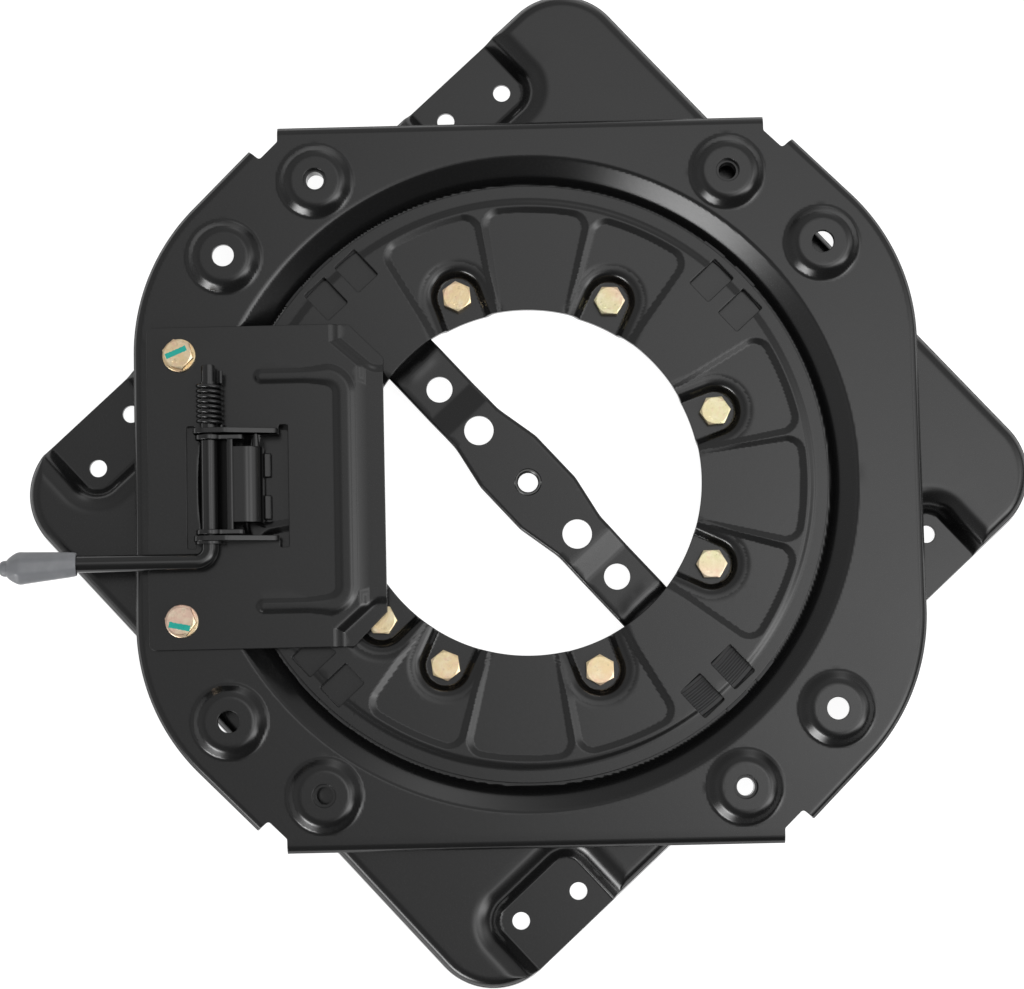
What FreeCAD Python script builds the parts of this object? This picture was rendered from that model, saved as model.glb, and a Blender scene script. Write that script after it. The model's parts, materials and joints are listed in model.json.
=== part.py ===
import FreeCAD, Part
import math
import os

V = FreeCAD.Vector

# Sheet metal and fits
sheet = 3.0              # thickness of the three large pressings
slide_gap = 0.1          # play at each face of the swivel's slides
shaft_gap = 0.05         # radial play of the lever rod in its ears
hole_gap = 0.4           # radial play of a bolt in its hole
rest_gap = 0.4           # height of the pawl's teeth over the ring
collar_gap = 0.1         # radial play of the flange on the lower slide's collar
base_turn = 42.1         # turn of the base under the top plate

# Base plate, a drawn tray that stands on its rim and four pads
base_length = 379.0
base_width = 348.5
base_corner = 33.0
base_height = 14.0
base_draft = 8.0
base_bend = 6.0
foot_hole_r = 4.25
foot_shift = -11.3       # the feet lie off centre along the base
foot_outer_in = (53.6, 23.45)   # floor holes, inwards from the base's end and side
foot_inner_in = (83.5, 14.85)
foot_margin = 10.0
foot_corner = 7.0
foot_run = 10.5          # how far the wall of a foot leans back

# Clamp ring, bolted to the base over the top plate's inner flange
ring_inner_r = 83.6
ring_outer_r = 144.3
ring_rise = 7.0          # height of its upper level over the bolt pads
ring_bolt_in = 13.1       # bolt circle, outwards from the inner edge
ring_bolt_half_step = 22.5
seat_r = 9.3             # bolt pads
seat_run = 5.6
panel_margin = 13.3      # from the panels to the outer edge
panel_depth = 2.5
panel_run = 2.3
panel_corner = 6.0
plain_half = 10.4        # half angle of the panel without a bolt
flank_from = 13.4        # the panels with bolts run between these angles
flank_to = 33.3
lip_width = 7.3
lip_drop = 1.2
lip_run = 1.5
window_margin = 3.9      # from the lock windows to the outer edge
window_length = 17.2
window_side = 10.0       # offset of each lock window from the middle of its pair
window_width = 13.2
base_clear_r = 1.5       # the base plate's opening is larger than the ring's

# Slides
glide = 0.6
collar_wall = 1.9
collar_in = 3.2          # from the lock windows inwards to the collar
glide_edge = 0.1         # from the upper slide to the ring's outer edge
glide_clear = 0.2        # from the upper slide to the lock windows
tab_reach = 1.7          # how far the tabs stand out of the ring
tab_angles = ((-2.3, 2.8), (5.6, 10.4))   # tabs beside each lock, degrees
pad_clear = 0.3          # from the pad's inner end to the windows' inner edge
pad_half = 11.0          # half angle of the ribbed pad under one lock
pad_thick = 0.6

# Top plate, a pressing with a sunk ring track and eight raised bosses
top_band = 16.5          # flat beside the track on the long sides
top_longer = 28.0        # length over width
top_height = 28.0
top_rim_gap = 1.6        # height of the folded rim over the base
top_chamfer = 68.2       # leg of the cut corners on the long sides
top_chamfer_side = 68.2
top_arc = 100.0
top_bend = 4.0
track_gap = 2.2          # from the ring's outer edge to the foot of the track's slope
track_run = 12.0
boss_inner_in = (89.2, 27.0)    # bosses, inwards from the plate's end and side
boss_outer_in = (44.5, 63.0)
boss_top_r = 13.2
boss_run = 5.4
boss_rise = 4.5
boss_hole_r = 5.3
nut_hole_r = 5.5
notch_from_in = 71.0     # start of the corner notch, from the plate's end
notch_depth = 7.0
notch_end_in = (57.0, 11.2)
notch_root_in = (62.2, 15.6)

# Fasteners
bolt_r = 4.0
bolt_across = 13.0
bolt_head = 5.3
bolt_nut = 6.5
seat_nut_core_r = 4.25
seat_nut_across = 17.0
seat_nut_height = 8.0
washer_r = 8.0
washer_height = 1.6
thread_end = 1.5         # how far a bolt stands out of its nut

# Latch plate, folded from one sheet and bolted to the top plate. The places of the latch's
# pieces along the plate start from the middle of the lock windows on the left
latch_left = -50.2
latch_right = 63.3
latch_half = 77.6
latch_chamfer = 16.3
latch_corner = 3.0
latch_bolt_at = (-34.4, 63.8)
strip_depth = 1.4        # lowered strip along the right edge
strip_run = 1.3
strip_x = 50.4
facet_depth = 3.2        # lower corners beside the strip
facet_run = 5.0
facet_nose = (58.0, 56.2)
facet_corner = (41.8, 70.5)
ridge_x = (4.8, 45.1)
ridge_y = (-54.3, 56.2)
ridge_half = 1.6         # half width of the ridge's crest
ridge_rise = 1.6
ridge_run = 4.0
ridge_corner = 9.0
ear_sheet = 2.6
ear_x = (-27.2, 12.8)
ear_face = 24.4          # inner face of each ear from the middle between them
ear_middle_y = 0.4       # that middle, off the plate's own middle
ear_over_rod = 6.5
ear_low = 5.0            # height of the ear's far end over the plate
gap_x = (-31.4, 17.2)    # the latch plate's own window
gap_half = 29.4

# Lever, pawl and spring
rod_r = 4.0
rod_x = -19.7
rod_height = 10.0        # axis of the rod over the top plate
rod_tip_y = 57.9
rod_tip_r = 3.3          # turned down beyond the spring
rod_tip_from = 49.6
lever_y = -36.2
elbow_r = 6.6
lever_rise = 4.0         # slope of the lever, degrees
grip_from = 63.0         # places along the lever from the rod's axis
grip_middle = 90.0
grip_to = 99.8
grip_start_r = 5.6
grip_wide_r = 7.65
grip_end_r = 3.85
grip_sag = 1.5           # the wide end lies this far to one side of the lever
pawl_sheet = 2.5
pawl_half = 18.2
cheek_half = 23.9
cheek_r = 6.6
cheek_from = 9.2         # the flat between the cheeks starts this far from the rod's axis
cheek_run = 5.6          # and from there it slopes down to the rod
cheek_drop = 4.5
cheek_to = -3.2
bridge_to = -8.2         # right end of the full width between the cheeks
pawl_top = 3.0           # height of the pawl's top over the rod's axis
pawl_bend = 8.0
pawl_x = 5.4
tooth_reach = 3.2
tooth_foot = 2.6
tooth_gap = 8.8
tooth_half = 15.9
tooth_corner = 2.2
stop_pin_r = 1.4
stop_pin_at = (2.6, 0.5) # the second is its height over the rod's axis
rod_washer_r = 7.0
rod_washer = 1.2
spring_wire_r = 1.0
spring_r = 5.5
spring_off = 0.4         # the coil hangs this far to one side of the rod
spring_turns = 8
spring_pitch = 2.41
spring_from = 28.9
spring_leg = 6.0         # length of the leg beside the rod's tip
spring_seat_gap = 0.3    # from the other leg's end to the ear
spring_steps = 16        # flats of the coil in one turn

# Cross bar under the ring, across the opening
bar_half = 14.0
bar_wide_half = 18.3
bar_wide_to = 14.0
bar_taper_to = 36.0
bar_hold = 20.4          # length of its ends under the ring
bar_waist_r = 30.0
bar_wide_r = 18.0
bar_lift = 3.5
bar_bend = (46.0, 52.0)
bar_holes = ((34.5, 7.1), (62.5, 6.3))
bush_outer_r = 6.3
bush_bore_r = 4.9
bush_depth = 8.0
bush_proud = 0.3

# Places and levels worked out from the sizes above
foot_outer = (base_length / 2.0 - foot_outer_in[0], base_width / 2.0 - foot_outer_in[1])
foot_inner = (base_length / 2.0 - foot_inner_in[0], base_width / 2.0 - foot_inner_in[1])
ring_bolt_r = ring_inner_r + ring_bolt_in
panel_outer_r = ring_outer_r - panel_margin
lip_r = ring_outer_r - lip_width
window_r = (ring_outer_r - window_margin - window_length, ring_outer_r - window_margin)
flange_inner_r = window_r[0] - collar_in
upper_glide_r = (window_r[1] + glide_clear, ring_outer_r - glide_edge)
track_foot_r = ring_outer_r + track_gap
bar_to = ring_inner_r + bar_hold
top_width = 2.0 * (track_foot_r + track_run + top_band)
top_length = top_width + top_longer
boss_inner = (top_length / 2.0 - boss_inner_in[0], top_width / 2.0 - boss_inner_in[1])
boss_outer = (top_length / 2.0 - boss_outer_in[0], top_width / 2.0 - boss_outer_in[1])
notch_from = top_length / 2.0 - notch_from_in
notch_end = (top_length / 2.0 - notch_end_in[0], top_width / 2.0 - notch_end_in[1])
notch_root = (top_length / 2.0 - notch_root_in[0], top_width / 2.0 - notch_root_in[1])
top_rim_low = base_height + top_rim_gap
latch_x = -(window_r[0] + window_r[1]) / 2.0
ring_top = base_height + sheet + ring_rise
flange_low = base_height + glide + slide_gap
flange_top = flange_low + sheet
latch_top = top_height + sheet
rod_z = top_height + rod_height
bush_top = base_height + bar_lift + sheet + bush_proud
bush_middle = bush_top - bush_depth / 2.0
bolt_angles = [45.0 * k + ring_bolt_half_step for k in range(8)] + [180.0]
far = 400.0              # longer than anything on the part


def box(low, high):
    """Box between two corners."""
    size = [high[k] - low[k] for k in range(3)]
    return Part.makeBox(size[0], size[1], size[2], V(*low))


def rod(radius, start, end):
    """Round bar between two points."""
    a = V(*start)
    way = V(*end).sub(a)
    return Part.makeCylinder(radius, way.Length, a, way)


def tube(outer, inner, z0, z1, x=0.0, y=0.0):
    """Upright tube."""
    body = rod(outer, (x, y, z0), (x, y, z1))
    return body.cut(rod(inner, (x, y, z0 - 1.0), (x, y, z1 + 1.0)))


def hexagon(across, z0, z1, x=0.0, y=0.0, angle=0.0):
    """Upright hexagonal bar."""
    corner = across / math.sqrt(3.0)
    ring = []
    for k in range(7):
        a = math.radians(angle + 60.0 * k)
        ring.append(V(x + corner * math.cos(a), y + corner * math.sin(a), z0))
    return Part.Face(Part.makePolygon(ring)).extrude(V(0, 0, z1 - z0))


def stacked(sections):
    """Solid with flat faces through closed rings of points with equal counts."""
    faces = [Part.Face(Part.makePolygon(sections[0] + sections[0][:1]))]
    for low, high in zip(sections, sections[1:]):
        count = len(low)
        for k in range(count):
            n = (k + 1) % count
            for corners in ((low[k], low[n], high[n]), (low[k], high[n], high[k])):
                faces.append(Part.Face(Part.makePolygon(list(corners) + [corners[0]])))
    faces.append(Part.Face(Part.makePolygon(sections[-1] + sections[-1][:1])))
    solid = Part.makeSolid(Part.makeShell(faces))
    if solid.Volume < 0.0:
        solid.reverse()
    return solid


def turned(shape, angle):
    """Copy of a shape, turned about the swivel's axis."""
    copy = shape.copy()
    copy.rotate(V(0, 0, 0), V(0, 0, 1), angle)
    return copy


def mirrored_four(shape):
    """The shape and its copies in the other three quarters."""
    copies = [shape]
    copies.append(shape.mirror(V(0, 0, 0), V(1, 0, 0)))
    copies.append(shape.mirror(V(0, 0, 0), V(0, 1, 0)))
    copies.append(turned(shape, 180.0))
    return copies


def outline(points, radii, z, grow=0.0):
    """Closed wire through points, anticlockwise, moved outwards by grow, with round corners.

    A convex corner's radius grows with the outline and a hollow one's shrinks."""
    count = len(points)
    lines = []
    for k in range(count):
        x0, y0 = points[k]
        x1, y1 = points[(k + 1) % count]
        size = math.hypot(x1 - x0, y1 - y0)
        dx, dy = (x1 - x0) / size, (y1 - y0) / size
        lines.append((x0 + dy * grow, y0 - dx * grow, dx, dy))
    joints = []
    for k in range(count):
        ax, ay, adx, ady = lines[k - 1]
        bx, by, bdx, bdy = lines[k]
        cross = adx * bdy - ady * bdx
        t = ((bx - ax) * bdy - (by - ay) * bdx) / cross
        corner = V(ax + adx * t, ay + ady * t, z)
        radius = radii[k]
        if radius > 0.0:
            radius += grow if cross > 0.0 else -grow
        half = math.atan2(abs(cross), adx * bdx + ady * bdy) / 2.0
        reach = radius * math.tan(half)
        before = corner.sub(V(adx, ady, 0) * reach)
        after = corner.add(V(bdx, bdy, 0) * reach)
        side = 1.0 if cross > 0.0 else -1.0
        centre = before.add(V(-ady, adx, 0) * (side * radius))
        to_corner = corner.sub(centre)
        middle = centre
        if radius > 0.0:
            middle = centre.add(to_corner * (radius / to_corner.Length))
        joints.append((before, middle, after, radius > 0.0))
    edges = []
    for k in range(count):
        before, middle, after, is_round = joints[k]
        if is_round:
            edges.append(Part.Arc(before, middle, after).toShape())
        edges.append(Part.makeLine(after, joints[(k + 1) % count][0]))
    return Part.Wire(edges)


def block(wire, height):
    """Solid block that stands on a flat wire."""
    return Part.Face(wire).extrude(V(0, 0, height))


def leaning(low_wire, high_wire):
    """Solid with straight walls between two flat wires with the same corners."""
    return Part.makeLoft([low_wire, high_wire], True, True)


def sector(middle, half, outer_r, corner, z, grow=0.0):
    """Outline of a panel: two radial sides, an outer arc and round outer corners."""
    inner_r = ring_inner_r - 12.0
    outer = outer_r + grow
    round_r = corner + grow
    left, right = [], []
    for sign, store in ((1.0, left), (-1.0, right)):
        a = math.radians(middle + sign * half)
        along = V(math.cos(a), math.sin(a), 0)
        normal = V(-math.sin(a), math.cos(a), 0) * sign
        reach = math.sqrt((outer - round_r) ** 2 - (grow - round_r) ** 2)
        centre = normal * (grow - round_r) + along * reach
        on_side = centre + normal * round_r
        on_arc = centre * (outer / (outer - round_r))
        bisector = (on_side - centre) + (on_arc - centre)
        bulge = centre + bisector * (round_r / bisector.Length)
        inner = normal * grow + along * inner_r
        store.extend([inner, on_side, bulge, on_arc])
    a = math.radians(middle)
    crown = V(math.cos(a), math.sin(a), 0) * outer
    lift = V(0, 0, z)
    left = [p + lift for p in left]
    right = [p + lift for p in right]
    crown = crown + lift
    edges = [
        Part.makeLine(right[0], right[1]),
        Part.Arc(right[1], right[2], right[3]).toShape(),
        Part.Arc(right[3], crown, left[3]).toShape(),
        Part.Arc(left[3], left[2], left[1]).toShape(),
        Part.makeLine(left[1], left[0]),
        Part.makeLine(left[0], right[0]),
    ]
    return Part.Wire(edges)


def seat_outline(angle, z, grow=0.0):
    """Outline of a bolt pad: a half round end and straight sides towards the opening."""
    a = math.radians(angle)
    along = V(math.cos(a), math.sin(a), 0)
    across = V(-math.sin(a), math.cos(a), 0)
    radius = seat_r + grow
    centre = along * ring_bolt_r + V(0, 0, z)
    inner = along * (ring_inner_r - 14.0) + V(0, 0, z)
    side = across * radius
    edges = [
        Part.makeLine(inner - side, centre - side),
        Part.Arc(centre - side, centre + along * radius, centre + side).toShape(),
        Part.makeLine(centre + side, inner + side),
        Part.makeLine(inner + side, inner - side),
    ]
    return Part.Wire(edges)


def hollow(make_wire, foot_z, depth, run, inset, over=1.0):
    """Tool for a pressed hollow with leaning walls, for the sheet's upper face or, inset, its lower one."""
    shift = inset * math.tan(math.atan2(depth, run) / 2.0)
    low = make_wire(foot_z - inset, shift)
    high = make_wire(foot_z - inset + depth + over, shift + run * (depth + over) / depth)
    return leaning(low, high)


def base_skin(inset):
    """Solid under the base plate's upper face, or under its lower face when inset by the sheet."""
    draft = math.tan(math.radians(base_draft))
    slant = inset / math.cos(math.radians(base_draft))
    top = base_height - inset
    x, y = base_length / 2.0, base_width / 2.0
    points = [(-x, -y), (x, -y), (x, y), (-x, y)]
    radii = [base_corner] * 4
    low = outline(points, radii, 0.0, -slant)
    high = outline(points, radii, top, -slant - draft * top)
    body = leaning(low, high)
    rim = [e for e in body.Edges if e.BoundBox.ZMin > top - 0.01]
    body = body.makeFillet(base_bend - inset, rim)
    for side in (1.0, -1.0):
        for end in (1.0, -1.0):
            body = body.cut(foot_tool(side, end, inset))
    return body


def foot_tool(side, end, inset):
    """Tool for the hollow over one foot, open to the long side of the base."""
    near = foot_inner[0] - foot_margin
    out = foot_outer[0] + foot_margin
    inner = foot_outer[1] - foot_margin
    u0, u1 = sorted((foot_shift + end * near, foot_shift + end * out))

    def wire(z, grow):
        if side > 0:
            points = [(u0, inner), (u1, inner), (u1, far), (u0, far)]
            radii = [foot_corner, foot_corner, 0.0, 0.0]
        else:
            points = [(u0, -far), (u1, -far), (u1, -inner), (u0, -inner)]
            radii = [0.0, 0.0, foot_corner, foot_corner]
        return outline(points, radii, z, grow)

    return hollow(wire, sheet, base_height - sheet, foot_run, inset)


def foot_holes():
    """Places of the eight floor holes in the base's own frame."""
    places = []
    for u, v in (foot_outer, foot_inner):
        for end in (1.0, -1.0):
            for side in (1.0, -1.0):
                places.append((foot_shift + end * u, side * v))
    return places


def base_plate():
    """Drawn tray with four sunk feet, a round opening and its holes."""
    under = box((-far, -far, -1.0), (far, far, 0.0))
    body = base_skin(0.0).cut(base_skin(sheet).fuse(under))
    opening_r = ring_inner_r + base_clear_r
    body = body.cut(rod(opening_r, (0, 0, -1.0), (0, 0, far)))
    for u, v in foot_holes():
        body = body.cut(rod(foot_hole_r, (u, v, -1.0), (u, v, far)))
    for x, y in bolt_places():
        body = body.cut(rod(bolt_r + hole_gap, (x, y, -1.0), (x, y, far)))
    return body


def bolt_places():
    """Places of the ring's bolts."""
    places = []
    for angle in bolt_angles:
        a = math.radians(angle)
        places.append((ring_bolt_r * math.cos(a), ring_bolt_r * math.sin(a)))
    return places


def ring_skin(inset):
    """Solid under the clamp ring's upper face, or under its lower face when inset."""
    top = ring_top - inset
    reach = 0.0 if inset == 0.0 else 2.0
    low_z = base_height - reach
    shift = inset * math.tan(math.atan2(lip_drop, lip_run) / 2.0)
    profile = [
        V(ring_inner_r - reach, 0, low_z),
        V(ring_outer_r + reach, 0, low_z),
        V(ring_outer_r + reach, 0, top - lip_drop),
        V(lip_r + lip_run - shift, 0, top - lip_drop),
        V(lip_r - shift, 0, top),
        V(ring_inner_r - reach, 0, top),
    ]
    profile.append(profile[0])
    body = Part.Face(Part.makePolygon(profile)).revolve(V(0, 0, 0), V(0, 0, 1), 360.0)
    flank_middle = (flank_from + flank_to) / 2.0
    flank_half = (flank_to - flank_from) / 2.0
    panels = []
    for quarter in range(4):
        centre = 45.0 + 90.0 * quarter
        panels.append((centre, plain_half))
        panels.append((centre + flank_middle, flank_half))
        panels.append((centre - flank_middle, flank_half))
    for middle, half in panels:
        def panel(z, grow, middle=middle, half=half):
            return sector(middle, half, panel_outer_r, panel_corner, z, grow)
        body = body.cut(hollow(panel, ring_top - panel_depth, panel_depth, panel_run, inset))
    for angle in bolt_angles:
        def seat(z, grow, angle=angle):
            return seat_outline(angle, z, grow)
        run = seat_run * ring_rise / (ring_rise - panel_depth)
        body = body.cut(hollow(seat, base_height + sheet, ring_rise, run, inset))
    return body


def clamp_ring():
    """Pressed ring with twelve sunk panels, nine bolt pads and four pairs of lock windows."""
    body = ring_skin(0.0).cut(ring_skin(sheet))
    for x, y in bolt_places():
        body = body.cut(rod(bolt_r + hole_gap, (x, y, 0.0), (x, y, far)))
    for quarter in range(4):
        for side in (1.0, -1.0):
            y0 = side * window_side - window_width / 2.0
            tool = box((window_r[0], y0, 0.0), (window_r[1], y0 + window_width, far))
            body = body.cut(turned(tool, 90.0 * quarter))
    return body


def ring_bolts():
    """Nine hexagon bolts that clamp the ring to the base."""
    bolts = []
    seat = base_height + sheet
    end = base_height - sheet - bolt_nut - thread_end
    for k, (x, y) in enumerate(bolt_places()):
        head = hexagon(bolt_across, seat, seat + bolt_head, x, y, 20.0 * k)
        bolts.append(head.fuse(rod(bolt_r, (x, y, end), (x, y, seat))))
    return Part.makeCompound(bolts)


def nut_at(x, y, top, angle):
    """Hexagon nut that hangs under a sheet."""
    body = hexagon(bolt_across, top - bolt_nut, top, x, y, angle)
    return body.cut(rod(bolt_r + shaft_gap, (x, y, 0.0), (x, y, far)))


def ring_nuts():
    """Nuts of the ring's bolts, under the base plate."""
    top = base_height - sheet
    return Part.makeCompound([nut_at(x, y, top, 20.0 * k) for k, (x, y) in enumerate(bolt_places())])


def lower_glide():
    """Plastic slide under the flange, with a collar that centres it."""
    collar_r = flange_inner_r - collar_gap
    flat = tube(track_foot_r - 0.7, collar_r - collar_wall, base_height, base_height + glide)
    collar = tube(collar_r, collar_r - collar_wall, base_height, flange_top)
    return flat.fuse(collar)


def arc_piece(inner, outer, start, end, z0, z1):
    """Part of an upright tube between two angles."""
    a0, a1 = math.radians(start), math.radians(end)
    middle = (a0 + a1) / 2.0
    near = [V(inner * math.cos(a), inner * math.sin(a), z0) for a in (a0, middle, a1)]
    away = [V(outer * math.cos(a), outer * math.sin(a), z0) for a in (a0, middle, a1)]
    edges = [Part.makeLine(near[0], away[0]), Part.Arc(*away).toShape(), Part.makeLine(away[2], near[2]),
             Part.Arc(near[2], near[1], near[0]).toShape()]
    return block(Part.Wire(edges), z1 - z0)


def upper_glide():
    """Plastic slide between the flange and the ring's lip, with tabs beside the locks and one pad."""
    low = flange_top + slide_gap
    top = ring_top - lip_drop - sheet
    inner, outer = upper_glide_r
    body = tube(outer, inner, low, top)
    for quarter in range(4):
        for start, end in tab_angles:
            tab = arc_piece(outer - 1.0, outer + glide_edge + tab_reach, start, end, low, top)
            body = body.fuse(turned(tab, 90.0 * quarter))
    pad = arc_piece(window_r[0] + pad_clear, inner + 1.0, -90.0 - pad_half, -90.0 + pad_half, low, low + pad_thick)
    return body.fuse(pad)


def bar_profile(inset_low):
    """Side face of the cross bar, from end to end, at its middle plane."""
    low = base_height
    high = low + bar_lift
    points = []
    for z_shift, way in ((0.0, 1.0), (sheet, -1.0)):
        side = [(-bar_to, low), (-bar_bend[1], low), (-bar_bend[0], high), (bar_bend[0], high),
                (bar_bend[1], low), (bar_to, low)]
        if way < 0:
            side.reverse()
        points.extend([V(-inset_low, v, z + z_shift) for v, z in side])
    points.append(points[0])
    return Part.Face(Part.makePolygon(points))


def cross_bar():
    """Cranked flat bar with a wide middle and five holes, welded under the ring."""
    width = bar_wide_half + 2.0
    strip = bar_profile(width).extrude(V(2.0 * width, 0, 0))
    plan = [(bar_half, -bar_to - 1.0), (bar_half, -bar_taper_to), (bar_wide_half, -bar_wide_to),
            (bar_wide_half, bar_wide_to), (bar_half, bar_taper_to), (bar_half, bar_to + 1.0)]
    plan += [(-x, y) for x, y in reversed(plan)]
    radii = [0.0, bar_waist_r, bar_wide_r, bar_wide_r, bar_waist_r, 0.0] * 2
    body = strip.common(block(outline(plan, radii, 0.0), far))
    for v, radius in bar_holes:
        for side in (1.0, -1.0):
            body = body.cut(rod(radius, (0, side * v, 0.0), (0, side * v, far)))
    return body.cut(rod(bush_outer_r + shaft_gap, (0, 0, 0), (0, 0, far)))


def centre_bush():
    """Threaded bush in the middle of the cross bar."""
    return tube(bush_outer_r, bush_bore_r, bush_top - bush_depth, bush_top)


def top_outline(z, grow=0.0):
    """Plan of the top plate without its corner notches."""
    x, y = top_length / 2.0, top_width / 2.0
    a, b = top_chamfer, top_chamfer_side
    quarter = [(x, y - b), (x - a, y)]
    points = quarter + [(-px, py) for px, py in reversed(quarter)]
    points += [(-px, -py) for px, py in quarter]
    points += [(px, -py) for px, py in reversed(quarter)]
    radii = [top_arc, 0.0, 0.0, top_arc] * 2
    return outline(points, radii, z, grow)


def top_skin(inset):
    """Solid under the top plate's upper face, or under its lower face when inset."""
    top = top_height - inset
    low = top_rim_low - (0.0 if inset == 0.0 else 2.0)
    body = block(top_outline(low, -inset), top - low)
    rim = [e for e in body.Edges if e.BoundBox.ZMin > top - 0.01]
    body = body.makeFillet(top_bend - inset, rim)
    if inset == 0.0:
        body = body.fuse(rod(track_foot_r, (0, 0, flange_low), (0, 0, top_rim_low)))
    depth = top_height - flange_top
    shift = inset * math.tan(math.atan2(depth, track_run) / 2.0)
    over = 1.0
    foot = track_foot_r + shift
    height = depth + over
    body = body.cut(Part.makeCone(foot, foot + track_run * height / depth, height, V(0, 0, flange_top - inset)))
    for x, y in (boss_inner, boss_outer):
        crown = boss_top_r - inset * math.tan(math.atan2(boss_rise, boss_run) / 2.0)
        height = boss_rise + over
        wide = crown + boss_run * height / boss_rise
        boss = Part.makeCone(wide, crown, height, V(x, y, top - over))
        for copy in mirrored_four(boss):
            body = body.fuse(copy)
    return body


def notch_tool():
    """Relief notch between two flanges at a corner."""
    y = top_width / 2.0
    points = [(notch_root[0], notch_root[1]), (notch_end[0], notch_end[1]), (notch_end[0] + 12.0, notch_end[1] + 12.0),
              (notch_from, y + 20.0), (notch_from, y - notch_depth)]
    return block(outline(points, [1.5, 0.0, 0.0, 0.0, 1.5], 0.0), far)


def top_plate():
    """Pressed plate with a flange, a sunk ring track, bosses, notches and holes."""
    body = top_skin(0.0).cut(top_skin(sheet))
    body = body.cut(rod(flange_inner_r, (0, 0, 0), (0, 0, far)))
    for tool in mirrored_four(notch_tool()):
        body = body.cut(tool)
    for place, radius in ((boss_inner, nut_hole_r), (boss_outer, boss_hole_r)):
        hole = rod(radius, (place[0], place[1], 0.0), (place[0], place[1], far))
        for copy in mirrored_four(hole):
            body = body.cut(copy)
    for x, y in latch_bolt_places():
        body = body.cut(rod(bolt_r + hole_gap, (latch_x + x, y, 0.0), (latch_x + x, y, far)))
    return body


def seat_nuts():
    """Threaded nuts welded under four of the bosses."""
    x, y = boss_inner
    top = top_height + boss_rise - sheet
    low = top - seat_nut_height
    nut = hexagon(seat_nut_across, low, top, x, y)
    nut = nut.cut(rod(seat_nut_core_r, (x, y, 0.0), (x, y, far)))
    return Part.makeCompound(mirrored_four(nut))


def latch_bolt_places():
    """Places of the latch plate's bolts."""
    x, y = latch_bolt_at
    return [(x, y), (x, -y)]


def latch_skin(inset):
    """Solid under the latch plate's upper face, or under its lower face when inset."""
    top = latch_top - inset
    reach = 0.0 if inset == 0.0 else 2.0
    low = latch_top - facet_depth - sheet - reach
    x0, x1, y = latch_left, latch_right, latch_half
    c = latch_chamfer
    points = [(x0, -y), (x1 - c, -y), (x1, -y + c), (x1, y - c), (x1 - c, y), (x0, y)]
    radii = [latch_corner, 0.0, 0.0, 0.0, 0.0, latch_corner]
    body = block(outline(points, radii, low, reach), top - low).fuse(ridge(inset))
    nx, ny = facet_nose
    cx, cy = facet_corner

    def strip(z, grow):
        plan = [(strip_x, -ny), (far, -ny), (far, ny), (strip_x, ny)]
        return outline(plan, [0.0] * 4, z, grow)

    def facet(z, grow):
        plan = [(cx, -far), (far, -far), (far, -ny), (nx, -ny), (cx, -cy)]
        return outline(plan, [0.0] * 5, z, grow)

    body = body.cut(hollow(strip, latch_top - strip_depth, strip_depth, strip_run, inset, ridge_rise + 1.0))
    corner = hollow(facet, latch_top - facet_depth, facet_depth, facet_run, inset, ridge_rise + 1.0)
    body = body.cut(corner)
    return body.cut(corner.mirror(V(0, 0, 0), V(0, 1, 0)))


def ridge(inset):
    """Raised stiffening ridge, open to the left, as the sheet's upper or lower face."""
    shift = inset * math.tan(math.atan2(ridge_rise, ridge_run) / 2.0)
    (x0, x1), (y0, y1), h = ridge_x, ridge_y, ridge_half
    points = [(x0, y0 - h), (x1 + h, y0 - h), (x1 + h, y1 + h), (x0, y1 + h),
              (x0, y1 - h), (x1 - h, y1 - h), (x1 - h, y0 + h), (x0, y0 + h)]
    end_r = h - 0.05
    radii = [end_r, ridge_corner + h, ridge_corner + h, end_r, end_r, ridge_corner - h, ridge_corner - h, end_r]
    over = 1.0
    top = latch_top + ridge_rise - inset
    low = outline(points, radii, top - ridge_rise - over, ridge_run * (1.0 + over / ridge_rise) - shift)
    return leaning(low, outline(points, radii, top, -shift))


def ear():
    """Ear folded up at one side of the latch window, with the rod's hole."""
    x0, x1 = ear_x
    z0 = top_height
    z1 = rod_z + ear_over_rod
    z2 = latch_top + ear_low
    edges_xz = [(x0, z0), (x1, z0), (x1, z2), (rod_x + ear_over_rod + 2.0, z1), (x0, z1)]
    face = outline([(x, z) for x, z in edges_xz], [0.0, 0.0, 2.5, 6.0, 5.0], 0.0)
    body = block(face, ear_sheet)
    body.rotate(V(0, 0, 0), V(1, 0, 0), 90.0)
    body.translate(V(0, ear_face + ear_sheet, 0))
    hole_r = rod_r + shaft_gap
    return body.cut(rod(hole_r, (rod_x, 0, rod_z), (rod_x, far, rod_z)))


def off_middle(shape):
    """The shape moved to the middle between the ears."""
    shape.translate(V(0, ear_middle_y, 0))
    return shape


def latch_plate():
    """Folded plate with a window, two ears, a bead and a stepped edge."""
    body = latch_skin(0.0).cut(latch_skin(sheet))
    wx0, wx1 = gap_x
    z0, z1 = 0.0, far
    body = body.cut(box((wx0, -gap_half, z0), (ear_x[0], gap_half, z1)))
    body = body.cut(box((ear_x[1], -gap_half, z0), (wx1, gap_half, z1)))
    body = body.cut(off_middle(box((ear_x[0] - 0.5, -ear_face, z0), (ear_x[1] + 0.5, ear_face, z1))))
    body = body.fuse(off_middle(ear()))
    body = body.fuse(off_middle(ear().mirror(V(0, 0, 0), V(0, 1, 0))))
    for x, y in latch_bolt_places():
        body = body.cut(rod(bolt_r + hole_gap, (x, y, 0.0), (x, y, far)))
    return body.removeSplitter()


def latch_washers():
    """Washers under the heads of the latch bolts."""
    inner = bolt_r + hole_gap
    return Part.makeCompound([tube(washer_r, inner, latch_top, latch_top + washer_height, x, y)
                              for x, y in latch_bolt_places()])


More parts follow.
